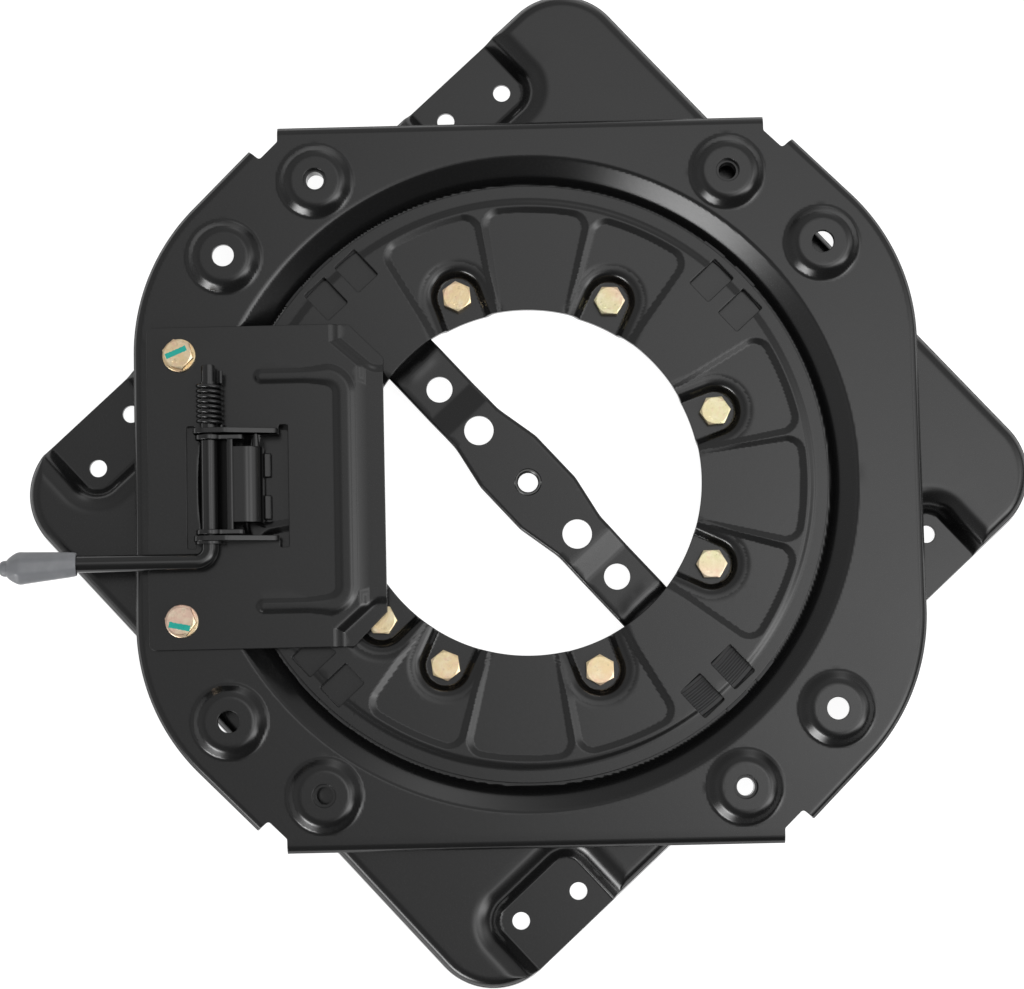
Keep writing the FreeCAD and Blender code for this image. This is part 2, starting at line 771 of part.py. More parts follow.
def latch_bolts():
    """Two hexagon bolts through the latch plate and the top plate."""
    bolts = []
    seat = latch_top + washer_height
    end = top_height - sheet - bolt_nut - thread_end
    for k, (x, y) in enumerate(latch_bolt_places()):
        head = hexagon(bolt_across, seat, seat + bolt_head, x, y, 10.0 + 25.0 * k)
        bolts.append(head.fuse(rod(bolt_r, (x, y, end), (x, y, seat))))
    return Part.makeCompound(bolts)


def latch_nuts():
    """Nuts of the latch bolts, under the top plate."""
    top = top_height - sheet
    return Part.makeCompound([nut_at(x, y, top, 15.0) for x, y in latch_bolt_places()])


def lever_way(distance):
    """Point on the lever's centre line, at a distance from the rod's axis."""
    a = math.radians(lever_rise)
    return V(rod_x - distance * math.cos(a), lever_y, rod_z + distance * math.sin(a))


def lever_rod():
    """Bent round bar: the hinge rod, a round elbow and the lever."""
    tip = V(rod_x, rod_tip_y, rod_z)
    bend_from = V(rod_x, lever_y + elbow_r, rod_z)
    bend_to = lever_way(elbow_r)
    centre = bend_to + (bend_from - V(rod_x, lever_y, rod_z))
    middle_way = V(rod_x, lever_y, rod_z) - centre
    middle = centre + middle_way * (elbow_r / middle_way.Length)
    end = lever_way(grip_middle)
    path = Part.Wire([Part.makeLine(tip, bend_from), Part.Arc(bend_from, middle, bend_to).toShape(),
                      Part.makeLine(bend_to, end)])
    circle = Part.Wire([Part.makeCircle(rod_r, tip, V(0, 1, 0))])
    body = path.makePipeShell([circle], True, False)
    waste = rod(rod_r + 1.0, (rod_x, rod_tip_from, rod_z), (rod_x, far, rod_z))
    return body.cut(waste.cut(rod(rod_tip_r, (rod_x, 0, rod_z), (rod_x, far, rod_z))))


def octagon(centre, along, radius):
    """Corners of a regular octagon across the lever, from its half width across flats."""
    side = V(0, 1, 0)
    up = along.cross(side)
    corner = radius / math.cos(math.radians(22.5))
    points = []
    for k in range(8):
        a = math.radians(45.0 * k + 22.5)
        points.append(centre + side * (corner * math.cos(a)) + up * (corner * math.sin(a)))
    return points


def lever_grip():
    """Plastic grip with eight flats: it widens outwards and is cut back at its tip."""
    a = math.radians(lever_rise)
    along = V(-math.cos(a), 0, math.sin(a))
    sag = V(0, -grip_sag, 0)
    body = stacked([octagon(lever_way(grip_from), along, grip_start_r),
                    octagon(lever_way(grip_middle) + sag, along, grip_wide_r),
                    octagon(lever_way(grip_to) + sag, along, grip_end_r)])
    return body.cut(rod(rod_r, tuple(lever_way(grip_from - 1.0)), tuple(lever_way(grip_middle)))).removeSplitter()


def pawl():
    """Folded pawl: two cheeks on the rod, a curved back and two teeth."""
    t = pawl_sheet
    z_top = rod_z + pawl_top
    z_low = ring_top + rest_gap
    x0 = bridge_to - 0.5
    x_out = pawl_x
    r = pawl_bend
    s = math.sqrt(0.5)
    outer = [V(x0, 0, z_top), V(x_out - r, 0, z_top)]
    outer_mid = V(x_out - r + r * s, 0, z_top - r + r * s)
    outer_low = V(x_out, 0, z_top - r)
    inner_low = V(x_out - t, 0, z_top - r)
    inner_mid = V(x_out - r + (r - t) * s, 0, z_top - r + (r - t) * s)
    inner_top = V(x_out - r, 0, z_top - t)
    foot_z = z_low + tooth_foot
    foot = [V(x_out, 0, foot_z), V(x_out + tooth_reach, 0, z_low + 0.6), V(x_out + tooth_reach, 0, z_low),
            V(x_out - t, 0, z_low)]
    edges = [
        Part.makeLine(outer[0], outer[1]),
        Part.Arc(outer[1], outer_mid, outer_low).toShape(),
        Part.makeLine(outer_low, foot[0]),
        Part.makeLine(foot[0], foot[1]),
        Part.makeLine(foot[1], foot[2]),
        Part.makeLine(foot[2], foot[3]),
        Part.makeLine(foot[3], inner_low),
        Part.Arc(inner_low, inner_mid, inner_top).toShape(),
        Part.makeLine(inner_top, V(x0, 0, z_top - t)),
        Part.makeLine(V(x0, 0, z_top - t), outer[0]),
    ]
    profile = Part.Face(Part.Wire(edges))
    back = profile.extrude(V(0, 2.0 * pawl_half, 0))
    back.translate(V(0, -pawl_half, 0))
    low_cut = z_low + tooth_foot + 3.0
    back = back.cut(box((x_out - 2 * t, -tooth_gap / 2.0, z_low - 1.0), (far, tooth_gap / 2.0, low_cut)))
    for side in (1.0, -1.0):
        y0, y1 = sorted((side * tooth_half, side * (pawl_half + 1.0)))
        back = back.cut(box((x_out - 2 * t, y0, z_low - 1.0), (far, y1, low_cut)))
    for side in (1.0, -1.0):
        nose = V(x_out + tooth_reach, side * tooth_half, z_low - 1.0)
        trim = [nose, nose - V(tooth_corner, 0, 0), nose - V(0, side * tooth_corner, 0), nose]
        back = back.cut(Part.Face(Part.makePolygon(trim)).extrude(V(0, 0, low_cut - z_low)))
    x1 = rod_x + cheek_from
    x2 = x1 - cheek_run
    z2 = z_top - cheek_drop
    flat = [(bridge_to, z_top), (x1, z_top), (x2, z2), (x2, z2 - t), (x1 + 1.0, z_top - t), (bridge_to, z_top - t)]
    corners = [V(px, -cheek_half, pz) for px, pz in flat]
    body = back.fuse(Part.Face(Part.makePolygon(corners + corners[:1])).extrude(V(0, 2.0 * cheek_half, 0)))
    for side in (1.0, -1.0):
        y0, y1 = sorted((side * cheek_half, side * (cheek_half - t)))
        round_end = rod(cheek_r, (rod_x, y0, rod_z), (rod_x, y1, rod_z))
        web = box((rod_x, y0, rod_z - 1.5), (cheek_to, y1, z_top))
        body = body.fuse(round_end.fuse(web))
    return off_middle(body.cut(rod(rod_r, (rod_x, -far, rod_z), (rod_x, far, rod_z))).removeSplitter())


def stop_pin():
    """Small pin on the pawl that reaches towards the ear."""
    x, up = stop_pin_at
    return off_middle(rod(stop_pin_r, (x, pawl_half, rod_z + up), (x, ear_face - rest_gap, rod_z + up)))


def rod_lock_washer():
    """Push-on washer between the lower ear and the elbow."""
    y1 = -(ear_face + ear_sheet + slide_gap)
    body = rod(rod_washer_r, (rod_x, y1 - rod_washer, rod_z), (rod_x, y1, rod_z))
    return off_middle(body.cut(rod(rod_r, (rod_x, -far, rod_z), (rod_x, far, rod_z))))


def lever_spring():
    """Coiled torsion spring round the rod, with a leg to the ear and a leg beside the rod's tip."""
    side = V(1, 0, 0)
    mitre = V(0, 1, -1)
    across = V(0, 0, -1)
    start = V(rod_x + spring_off + spring_r, spring_from + spring_wire_r, rod_z)
    foot = V(start.x, ear_middle_y + ear_face + ear_sheet + spring_seat_gap, rod_z)
    steps = spring_turns * spring_steps
    end = start + V(0, spring_pitch * spring_turns, 0)
    path = [(foot, side, across), (start, side, mitre)]
    for step in range(1, steps):
        turn = step / spring_steps
        a = 2.0 * math.pi * turn
        radial = V(math.cos(a), 0, math.sin(a))
        path.append((start + V(0, spring_pitch * turn, 0) + (radial - side) * spring_r, radial, V(0, 1, 0)))
    path += [(end, side, mitre), (end + V(0, spring_leg, 0), side, across)]
    sections = []
    for centre, radial, over in path:
        ring = []
        for k in range(6):
            b = math.radians(60.0 * k)
            ring.append(centre + radial * (spring_wire_r * math.cos(b)) + over * (spring_wire_r * math.sin(b)))
        sections.append(ring)
    return stacked(sections)


def write(name, shape, angle=0.0, along=0.0):
    """Write one piece as a STEP file, turned with the base or moved along with the latch.

    The origin of the files is the middle of the bush, on the swivel's axis."""
    piece = turned(shape, angle)
    piece.translate(V(along, 0, -bush_middle))
    piece.exportStep("parts/" + name + ".step")
    print(name, "solids", len(shape.Solids), "valid", shape.isValid(), "volume", round(shape.Volume, 1))


os.makedirs("parts", exist_ok=True)
write("base_plate", base_plate(), base_turn)
write("clamp_ring", clamp_ring(), base_turn)
write("ring_bolts", ring_bolts(), base_turn)
write("ring_nuts", ring_nuts(), base_turn)
write("cross_bar", cross_bar(), base_turn)
write("centre_bush", centre_bush(), base_turn)
write("lower_glide", lower_glide(), base_turn)
write("upper_glide", upper_glide(), base_turn)
write("top_plate", top_plate())
write("seat_nuts", seat_nuts())
write("latch_plate", latch_plate(), 0.0, latch_x)
write("latch_bolts", latch_bolts(), 0.0, latch_x)
write("latch_washers", latch_washers(), 0.0, latch_x)
write("latch_nuts", latch_nuts(), 0.0, latch_x)
write("lever_spring", lever_spring(), 0.0, latch_x)
write("lever_rod", lever_rod(), 0.0, latch_x)
write("lever_grip", lever_grip(), 0.0, latch_x)
write("pawl", pawl(), 0.0, latch_x)
write("stop_pin", stop_pin(), 0.0, latch_x)
write("rod_lock_washer", rod_lock_washer(), 0.0, latch_x)
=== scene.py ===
"""The swivel seat base, dressed and lit for its picture."""
import bpy
import json
import math
import numpy as np
from mathutils import Matrix, Vector
from mathutils.geometry import delaunay_2d_cdt

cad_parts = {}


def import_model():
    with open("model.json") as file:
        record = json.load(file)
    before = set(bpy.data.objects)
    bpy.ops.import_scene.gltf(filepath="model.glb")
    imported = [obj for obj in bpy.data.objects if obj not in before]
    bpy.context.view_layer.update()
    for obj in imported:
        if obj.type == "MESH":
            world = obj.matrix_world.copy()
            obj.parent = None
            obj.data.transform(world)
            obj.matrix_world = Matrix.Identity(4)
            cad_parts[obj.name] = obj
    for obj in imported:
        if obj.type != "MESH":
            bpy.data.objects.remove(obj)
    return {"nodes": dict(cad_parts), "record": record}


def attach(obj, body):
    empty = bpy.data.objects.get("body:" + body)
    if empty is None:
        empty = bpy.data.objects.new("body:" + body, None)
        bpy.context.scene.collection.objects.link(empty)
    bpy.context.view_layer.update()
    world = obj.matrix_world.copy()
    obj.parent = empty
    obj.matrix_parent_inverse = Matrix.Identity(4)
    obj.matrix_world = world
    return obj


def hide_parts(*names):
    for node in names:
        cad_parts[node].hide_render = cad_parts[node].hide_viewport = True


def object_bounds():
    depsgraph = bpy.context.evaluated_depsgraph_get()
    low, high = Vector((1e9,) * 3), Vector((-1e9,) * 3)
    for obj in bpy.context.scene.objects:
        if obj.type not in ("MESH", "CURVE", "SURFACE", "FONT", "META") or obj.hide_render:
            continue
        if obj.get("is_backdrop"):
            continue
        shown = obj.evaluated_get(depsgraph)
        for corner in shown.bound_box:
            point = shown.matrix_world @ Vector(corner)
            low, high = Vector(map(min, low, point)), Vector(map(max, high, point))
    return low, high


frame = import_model()
start_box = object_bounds()

MM = 0.001

# Sizes that several pieces share, in millimetres and degrees
FLOOR = -16.8  # height of the floor, from the middle of the bush
BASE_TURN = 42.1  # turn of the base under the top plate
SHEET = 3.0  # thickness of the pressed sheets
PAD_Z = 17.0  # level that the heads of the ring bolts sit on
LATCH_Z = 31.0  # level of the latch plate
WASHER_Z = 32.6  # level that the heads of the latch bolts sit on
TOP_X, TOP_Y = 189.0, 175.0  # half sizes of the top plate
BASE_X, BASE_Y = 189.5, 174.25  # half sizes of the base plate
BASE_CORNER_R = 33.0
FEET_X = -11.3  # middle of the base's feet
RING_INNER_R, RING_OUTER_R = 83.6, 144.3
BOLT_CIRCLE_R = 96.7
BOLT_HOLE_R = 4.4
SHANK_R, PITCH = 4.0, 1.25
HEAD_HEIGHT, HEAD_ACROSS = 5.3, 13.0
ROD_X, ROD_Z, ROD_R = -151.5, 38.0, 4.0  # axis and radius of the lever's rod
LEVER_Y = -36.2  # the lever runs out of the latch here
LEVER_RISE = math.radians(4.0)  # and rises by this angle
FAR = 99.0  # a distance or height that stands for no wall here

# Angles of the bolts in the ring, places of the bolts in the latch plate
RING_BOLTS = [22.5 + 45.0 * k for k in range(8)] + [180.0]
LATCH_BOLTS = [(-166.2, 63.8), (-166.2, -63.8)]
# In one quarter: bosses and the radius of their holes, floor holes from the middle of the feet
SEAT_BOSSES = [(99.8, 148.0, 5.5), (144.5, 112.0, 5.3)]
FLOOR_HOLES = [(135.9, 150.8), (106.0, 159.4)]
# Paint stripes on the latch bolts: two ends and the width
STRIPES = [((-171.8, 62.6), (-162.0, 66.6), 2.6), ((-171.6, -65.5), (-161.6, -67.6), 2.8)]


def ring_bolt_places():
    """Middle of each ring bolt, on the ring before it is turned."""
    turns = [math.radians(angle) for angle in RING_BOLTS]
    return [(BOLT_CIRCLE_R * math.cos(a), BOLT_CIRCLE_R * math.sin(a)) for a in turns]


def fine_step(size):
    """Smallest step of a mesh."""
    return size


# Materials

class Value:
    """A value inside a material, so that its maths reads as plain arithmetic."""

    def __init__(self, nodes, socket):
        self.nodes = nodes
        self.socket = socket

    def maths(self, kind, other=None, flip=False):
        """One step of maths, with the other value first where flip is set."""
        values = [self] if other is None else [other, self] if flip else [self, other]
        return self.nodes.add("ShaderNodeMath", {"operation": kind}, dict(enumerate(values)))

    def __add__(self, other):
        return self.maths("ADD", other)

    __radd__ = __add__

    def __mul__(self, other):
        return self.maths("MULTIPLY", other)

    __rmul__ = __mul__

    def __sub__(self, other):
        return self.maths("SUBTRACT", other)

    def __rsub__(self, other):
        return self.maths("SUBTRACT", other, flip=True)

    def __truediv__(self, other):
        return self.maths("DIVIDE", other)

    def __rtruediv__(self, other):
        return self.maths("DIVIDE", other, flip=True)

    def __pow__(self, other):
        return self.maths("POWER", other)

    def above(self, other):
        return self.maths("GREATER_THAN", other)

    def below(self, other):
        return self.maths("LESS_THAN", other)

    def clamp(self):
        return self.maths("MINIMUM", 1.0).maths("MAXIMUM", 0.0)


class Nodes:
    """A node tree and the one call that adds a node to it."""

    def __init__(self, tree):
        self.tree = tree

    def feed(self, socket, value):
        if isinstance(value, Value):
            self.tree.links.new(value.socket, socket)
        elif isinstance(value, tuple) and len(value) == 3 and len(socket.default_value) == 4:
            socket.default_value = (*value, 1.0)
        else:
            socket.default_value = value

    def add(self, kind, settings=None, inputs=None, out=0):
        """A new node with its settings and inputs, given back as its output's value."""
        node = self.tree.nodes.new(kind)
        for name, value in (settings or {}).items():
            setattr(node, name, value)
        for name, value in (inputs or {}).items():
            self.feed(node.inputs[name], value)
        return Value(self, node.outputs[out]) if len(node.outputs) else None

    def blend(self, factor, first, second):
        inputs = {"Factor": factor, 6: first, 7: second}
        return self.add("ShaderNodeMix", {"data_type": "RGBA"}, inputs, 2)


class Paint(Nodes):
    """One material and the few calls that build it."""

    def __init__(self, name, color, roughness, metallic=0.0):
        self.material = bpy.data.materials.new(name)
        self.material.use_nodes = True
        super().__init__(self.material.node_tree)
        self.shader = self.tree.nodes["Principled BSDF"]
        self.put("Base Color", color)
        self.put("Roughness", roughness)
        self.put("Metallic", metallic)

    def put(self, name, value):
        self.feed(self.shader.inputs[name], value)

    def place(self):
        return self.add("ShaderNodeTexCoord", out="Object")

    def along(self, axis):
        return self.add("ShaderNodeSeparateXYZ", inputs={"Vector": self.place()}, out=axis)

    def noise(self, scale, detail=2.0, roughness=0.5):
        """Noise through the object, scale times in a metre."""
        inputs = {"Vector": self.place(), "Scale": scale, "Detail": detail, "Roughness": roughness}
        return self.add("ShaderNodeTexNoise", inputs=inputs, out="Fac")

    def bump(self, height, distance):
        self.put("Normal", self.add("ShaderNodeBump", inputs={"Height": height, "Distance": distance}))


def coated(name, color, roughness, grain):
    """Black coating on steel: fine orange peel, small specks and a slow change of gloss."""
    paint = Paint(name, color, roughness)
    slow = paint.noise(16.0, 3.0)
    fine = paint.noise(1400.0, 2.0)
    specks = (paint.noise(2600.0, 1.0) - 0.68).above(0.0)
    paint.put("Roughness", roughness + (slow - 0.5) * 0.06 + (fine - 0.5) * 0.05 + specks * 0.08)
    paint.bump(fine * 0.35 + paint.noise(320.0, 2.0) * 0.65, grain)
    return paint.material


def zinc(name, stripes=()):
    """Yellow passivated zinc: pale gold that drifts to pink and green, with fine scratches."""
    paint = Paint(name, (0.70, 0.63, 0.46), 0.3, 1.0)
    drift = paint.noise(240.0, 4.0, 0.65)
    second = paint.noise(330.0, 3.0)
    slow = paint.noise(14.0, 0.0)
    other = paint.noise(23.0, 0.0)
    color = paint.blend(((slow - 0.42) * 6.0).clamp(), (0.72, 0.55, 0.33), (0.62, 0.58, 0.35))
    color = paint.blend(((other - 0.50) * 8.0).clamp(), color, (0.72, 0.52, 0.41))
    color = paint.blend(((drift - 0.45) * 5.0).clamp() * 0.5, color, (0.80, 0.73, 0.55))
    color = paint.blend(((second - 0.54) * 6.0).clamp() * 0.5, color, (0.66, 0.42, 0.33))
    wear = ((paint.noise(500.0, 4.0, 0.7) - 0.60) * 9.0).clamp()
    color = paint.blend(wear * 0.6, color, (0.36, 0.30, 0.18))
    rough = 0.27 + drift * 0.12 + wear * 0.15
    metal = 1.0 - wear * 0.2
    if stripes:
        mask = 0.0
        x, y = paint.along("X"), paint.along("Y")
        edge = (paint.noise(700.0, 2.0) - 0.5) * 0.7
        for (x0, y0), (x1, y1), width in stripes:
            size = math.hypot(x1 - x0, y1 - y0)
            c, s = (x1 - x0) / size, (y1 - y0) / size
            u = (x - x0 * MM) * c + (y - y0 * MM) * s
            v = ((x - x0 * MM) * -s + (y - y0 * MM) * c).maths("ABSOLUTE") / MM + edge
            mask = v.below(width / 2.0) * u.above(0.0) * u.below(size * MM) + mask
        mask = mask.clamp()
        color = paint.blend(mask, color, (0.0, 0.36, 0.29))
        metal = metal * (1.0 - mask)
        rough = rough * (1.0 - mask) + mask * 0.45
    paint.put("Base Color", color)
    paint.put("Roughness", rough)
    paint.put("Metallic", metal)
    paint.bump(paint.noise(1100.0, 4.0, 0.7), 0.00006)
    return paint.material


def plated(name, dark, light):
    """Plain plated steel with fine turning marks."""
    paint = Paint(name, light, 0.3, 1.0)
    drift = paint.noise(300.0, 3.0)
    paint.put("Base Color", paint.blend(drift, dark, light))
    paint.put("Roughness", 0.24 + drift * 0.16)
    paint.bump(paint.noise(1200.0, 2.0), 0.00001)
    return paint.material


def plastic(name, dark, light, roughness, grain):
    """Moulded plastic with a fine grain and slightly rubbed places."""
    paint = Paint(name, light, roughness)
    fine = paint.noise(1500.0, 2.0)
    rubbed = ((paint.noise(90.0, 3.0) - 0.5) * 3.0).clamp()
    paint.put("Base Color", paint.blend(rubbed, dark, light))
    paint.put("Roughness", roughness + (fine - 0.5) * 0.15 - rubbed * 0.06)
    paint.bump(fine, grain)
    return paint.material


sheet_paint = coated("coated_sheet", (0.0055, 0.0055, 0.0056), 0.20, 0.000012)
rod_paint = coated("coated_rod", (0.005, 0.005, 0.0051), 0.16, 0.00001)
spring_paint = coated("spring_steel", (0.007, 0.007, 0.0072), 0.2, 0.00001)
plate_paint = plated("plated_steel", (0.46, 0.46, 0.45), (0.66, 0.66, 0.64))
bush_paint = plated("dark_plated_steel", (0.07, 0.07, 0.07), (0.12, 0.12, 0.118))
zinc_paint = zinc("yellow_zinc")
marked_zinc = zinc("yellow_zinc_marked", STRIPES)
grip_paint = plastic("grip_plastic", (0.17, 0.175, 0.185), (0.23, 0.235, 0.245), 0.4, 0.00003)
slide_paint = plastic("slide_plastic", (0.010, 0.010, 0.011), (0.018, 0.018, 0.019), 0.4, 0.00002)
paints = {"coated_sheet": sheet_paint, "coated_rod": rod_paint, "spring_steel": spring_paint,
          "plated_steel": plate_paint, "yellow_zinc": zinc_paint, "grip_plastic": grip_paint,
          "slide_plastic": slide_paint}
for part in frame["record"]["subparts"]:
    node = frame["nodes"][part["node"]]
    node.data.materials.clear()
    node.data.materials.append(paints[part["material_slot"]])
frame["nodes"]["rod_lock_washer"].data.materials[0] = rod_paint


# Pressed sheets. Sizes are in millimetres, with the floor at height 0

def s_bend(s, rise, angle, low_r, high_r):
    """Height of a pressed step over its middle line: 0 at low s, rise at high s, with round bends."""
    a = math.radians(angle)
    drop = 1.0 - math.cos(a)
    straight = rise - (low_r + high_r) * drop
    w_low, w_high = low_r * math.sin(a), high_r * math.sin(a)
    w_mid = straight / math.tan(a)
    total = w_low + w_mid + w_high
    t = s + total / 2.0
    low = low_r - np.sqrt(np.maximum(low_r ** 2 - np.clip(t, 0.0, w_low) ** 2, 0.0))
    middle = low_r * drop + (t - w_low) * math.tan(a)
    u = np.clip(total - t, 0.0, w_high)
    high = rise - high_r + np.sqrt(np.maximum(high_r ** 2 - u ** 2, 0.0))
    return np.where(t < w_low, low, np.where(t < w_low + w_mid, middle, high))


def soft_min(a, b, width):
    """The lower of two heights, with a round edge where they cross."""
    d = np.clip(1.0 - np.abs(a - b) / width, 0.0, None)
    return np.minimum(a, b) - d * d * width / 4.0


def soft_max(a, b, width):
    """The higher of two heights, with a round hollow where they cross."""
    return -soft_min(-a, -b, width)


def corner_distance(dx, dy, corner):
    """Distance to a round corner, from the distances to its two sides, negative inside."""
    dx, dy = dx + corner, dy + corner
    outside = np.hypot(np.maximum(dx, 0.0), np.maximum(dy, 0.0))
    return np.minimum(np.maximum(dx, dy), 0.0) + outside - corner


def box_distance(x, y, x0, x1, y0, y1, corner):
    """Distance to a rectangle with round corners, negative inside."""
    dx = np.abs(x - (x0 + x1) / 2.0) - (x1 - x0) / 2.0
    dy = np.abs(y - (y0 + y1) / 2.0) - (y1 - y0) / 2.0
    return corner_distance(dx, dy, corner)


def circle_loop(r, step, x=0.0, y=0.0):
    """Points round a circle, anticlockwise."""
    count = max(16, int(2.0 * math.pi * r / step))
    turns = [2 * math.pi * k / count for k in range(count)]
    return [(x + r * math.cos(a), y + r * math.sin(a)) for a in turns]


def rounded(points, radii, step):
    """Closed polyline through points with round corners, divided into steps."""
    out = []
    count = len(points)
    for k in range(count):
        p, c, n = (Vector(points[(k + i) % count]) for i in (-1, 0, 1))
        a, b = (p - c).normalized(), (n - c).normalized()
        half = math.acos(max(-1.0, min(1.0, a.dot(b)))) / 2.0
        r = radii[k]
        if r <= 0.0 or abs(half - math.pi / 2.0) < 1e-4:
            out.append(c)
            continue
        reach = r / math.tan(half)
        centre = c + (a + b).normalized() * (r / math.sin(half))
        start, end = c + a * reach - centre, c + b * reach - centre
        turn = math.atan2(start.cross(end), start.dot(end))
        pieces = max(3, int(abs(turn) * r / step))
        for i in range(pieces + 1):
            t = turn * i / pieces
            out.append(centre + Vector((start.x * math.cos(t) - start.y * math.sin(t),
                                        start.x * math.sin(t) + start.y * math.cos(t))))
    full = []
    for k, p in enumerate(out):
        q = out[(k + 1) % len(out)]
        pieces = max(1, int((q - p).length / step))
        full += [tuple(p.lerp(q, i / pieces)) for i in range(pieces)]
    return full


CHUNK = 4000  # points that are tested against a loop at a time


def inside(px, py, loop):
    """Which points lie inside a closed polyline."""
    x0, y0 = np.array(loop).T
    x1, y1 = np.roll(x0, -1), np.roll(y0, -1)
    found = np.zeros(len(px), bool)
    for k in range(0, len(px), CHUNK):
        x, y = px[k:k + CHUNK, None], py[k:k + CHUNK, None]
        crosses = (y0 > y) != (y1 > y)
        with np.errstate(divide="ignore", invalid="ignore"):
            at = (x1 - x0) * (y - y0) / (y1 - y0) + x0
        found[k:k + CHUNK] = (crosses & (x < at)).sum(1) % 2 == 1
    return found


def near(px, py, loop, reach):
    """Which points lie closer to a polyline's corners than a distance."""
    found = np.zeros(len(px), bool)
    lx, ly = np.array(loop).T
    for k in range(0, len(px), CHUNK):
        d = (px[k:k + CHUNK, None] - lx) ** 2 + (py[k:k + CHUNK, None] - ly) ** 2
        found[k:k + CHUNK] = d.min(1) < reach * reach
    return found


def spread(height, low, high, coarse, fine, keep):
    """Points over a rectangle, close together where the surface bends."""
    flat_enough = 0.012
    nx = int(math.ceil((high[0] - low[0]) / coarse))
    ny = int(math.ceil((high[1] - low[1]) / coarse))
    gx, gy = np.meshgrid(np.arange(nx), np.arange(ny))
    x, y = low[0] + gx.ravel() * coarse, low[1] + gy.ravel() * coarse
    size = coarse
    found = set()
    while True:
        h = size / 2.0
        z = [height(x + i * h, y + j * h) for j in (0, 1, 2) for i in (0, 1, 2)]
        mid = (z[0] + z[2] + z[6] + z[8]) / 4.0
        off = np.abs(z[4] - mid)
        for a, b, c in ((0, 1, 2), (6, 7, 8), (0, 3, 6), (2, 5, 8)):
            off = np.maximum(off, np.abs(z[b] - (z[a] + z[c]) / 2.0))
        split = (off > flat_enough) & (size > fine * 1.01)
        done = ~split
        for i, j in ((0, 0), (1, 0), (0, 1), (1, 1)):
            found.update(zip(np.round(x[done] + i * size, 4), np.round(y[done] + j * size, 4)))
        if not split.any():
            break
        x, y = x[split], y[split]
        x, y = np.concatenate([x, x + h, x, x + h]), np.concatenate([y, y, y + h, y + h])
        size = h
        near_it = keep(x + h / 2.0, y + h / 2.0, size)
        x, y = x[near_it], y[near_it]
    points = np.array(sorted(found))
    return points[:, 0], points[:, 1]


def slopes(height, x, y):
    """Upward normals of a height function."""
    e = 0.02
    dx = (height(x + e, y) - height(x - e, y)) / (2 * e)
    dy = (height(x, y + e) - height(x, y - e)) / (2 * e)
    n = np.stack([-dx, -dy, np.ones_like(dx)], 1)
    return n / np.linalg.norm(n, axis=1)[:, None]


class Shell:
    """Faces and normals of one piece, collected part by part."""

    def __init__(self):
        self.points, self.normals, self.faces = [], [], []
        self.count = 0

    def add(self, points, normals, faces):
        self.points.append(np.asarray(points, float))
        self.normals.append(np.asarray(normals, float))
        self.faces += [tuple(int(i) + self.count for i in f) for f in faces]
        self.count += len(points)

    def strip(self, rows, normals, closed=True):
        """Band of faces between rows of points."""
        n = len(rows[0])
        points, normals = np.concatenate(rows), np.concatenate(normals)
        k = np.arange(n if closed else n - 1)
        m = (k + 1) % n
        faces = np.concatenate([np.stack([r * n + k, r * n + m, (r + 1) * n + m, (r + 1) * n + k], 1)
                                for r in range(len(rows) - 1)])
        a, b, c, d = (points[faces[:, i]] for i in range(4))
        wrong = (np.cross(c - a, d - b) * normals[faces].sum(1)).sum(1) < 0.0
        faces[wrong] = faces[wrong][:, ::-1]
        self.add(points, normals, faces)

    def turned(self, angle):
        """Turn all that was collected about the swivel axis."""
        a = math.radians(angle)
        c, s = math.cos(a), math.sin(a)
        m = np.array([[c, s, 0], [-s, c, 0], [0, 0, 1]])
        self.points = [p @ m for p in self.points]
        self.normals = [n @ m for n in self.normals]

    def object(self, name, material):
        """The collected faces as one smooth object with their own normals."""
        points = np.concatenate(self.points) + np.array([0.0, 0.0, FLOOR])
        normals = np.concatenate(self.normals)
        mesh = bpy.data.meshes.new(name)
        mesh.from_pydata((points * MM).tolist(), [], self.faces)
        mesh.polygons.foreach_set("use_smooth", [True] * len(mesh.polygons))
        corner = np.empty(len(mesh.loops), int)
        mesh.loops.foreach_get("vertex_index", corner)
        mesh.normals_split_custom_set(normals[corner].tolist())
        mesh.materials.append(material)
        thing = bpy.data.objects.new(name, mesh)
        bpy.context.collection.objects.link(thing)
        return thing


def loop_normals(loop):
    """Outward normals of an anticlockwise loop in the plan."""
    p = np.array(loop)
    along = np.roll(p, -1, 0) - np.roll(p, 1, 0)
    along /= np.linalg.norm(along, axis=1)[:, None]
    return np.stack([along[:, 1], -along[:, 0]], 1)


def lower_face(z, n, lowest):
    """Height of a sheet's lower face, from the height and normals of its upper one."""
    return np.maximum(z - SHEET / np.maximum(n[:, 2], 0.6), lowest)


def lifted(at, z):
    """Points of the plan at their heights."""
    return np.stack([at[:, 0], at[:, 1], z], 1)


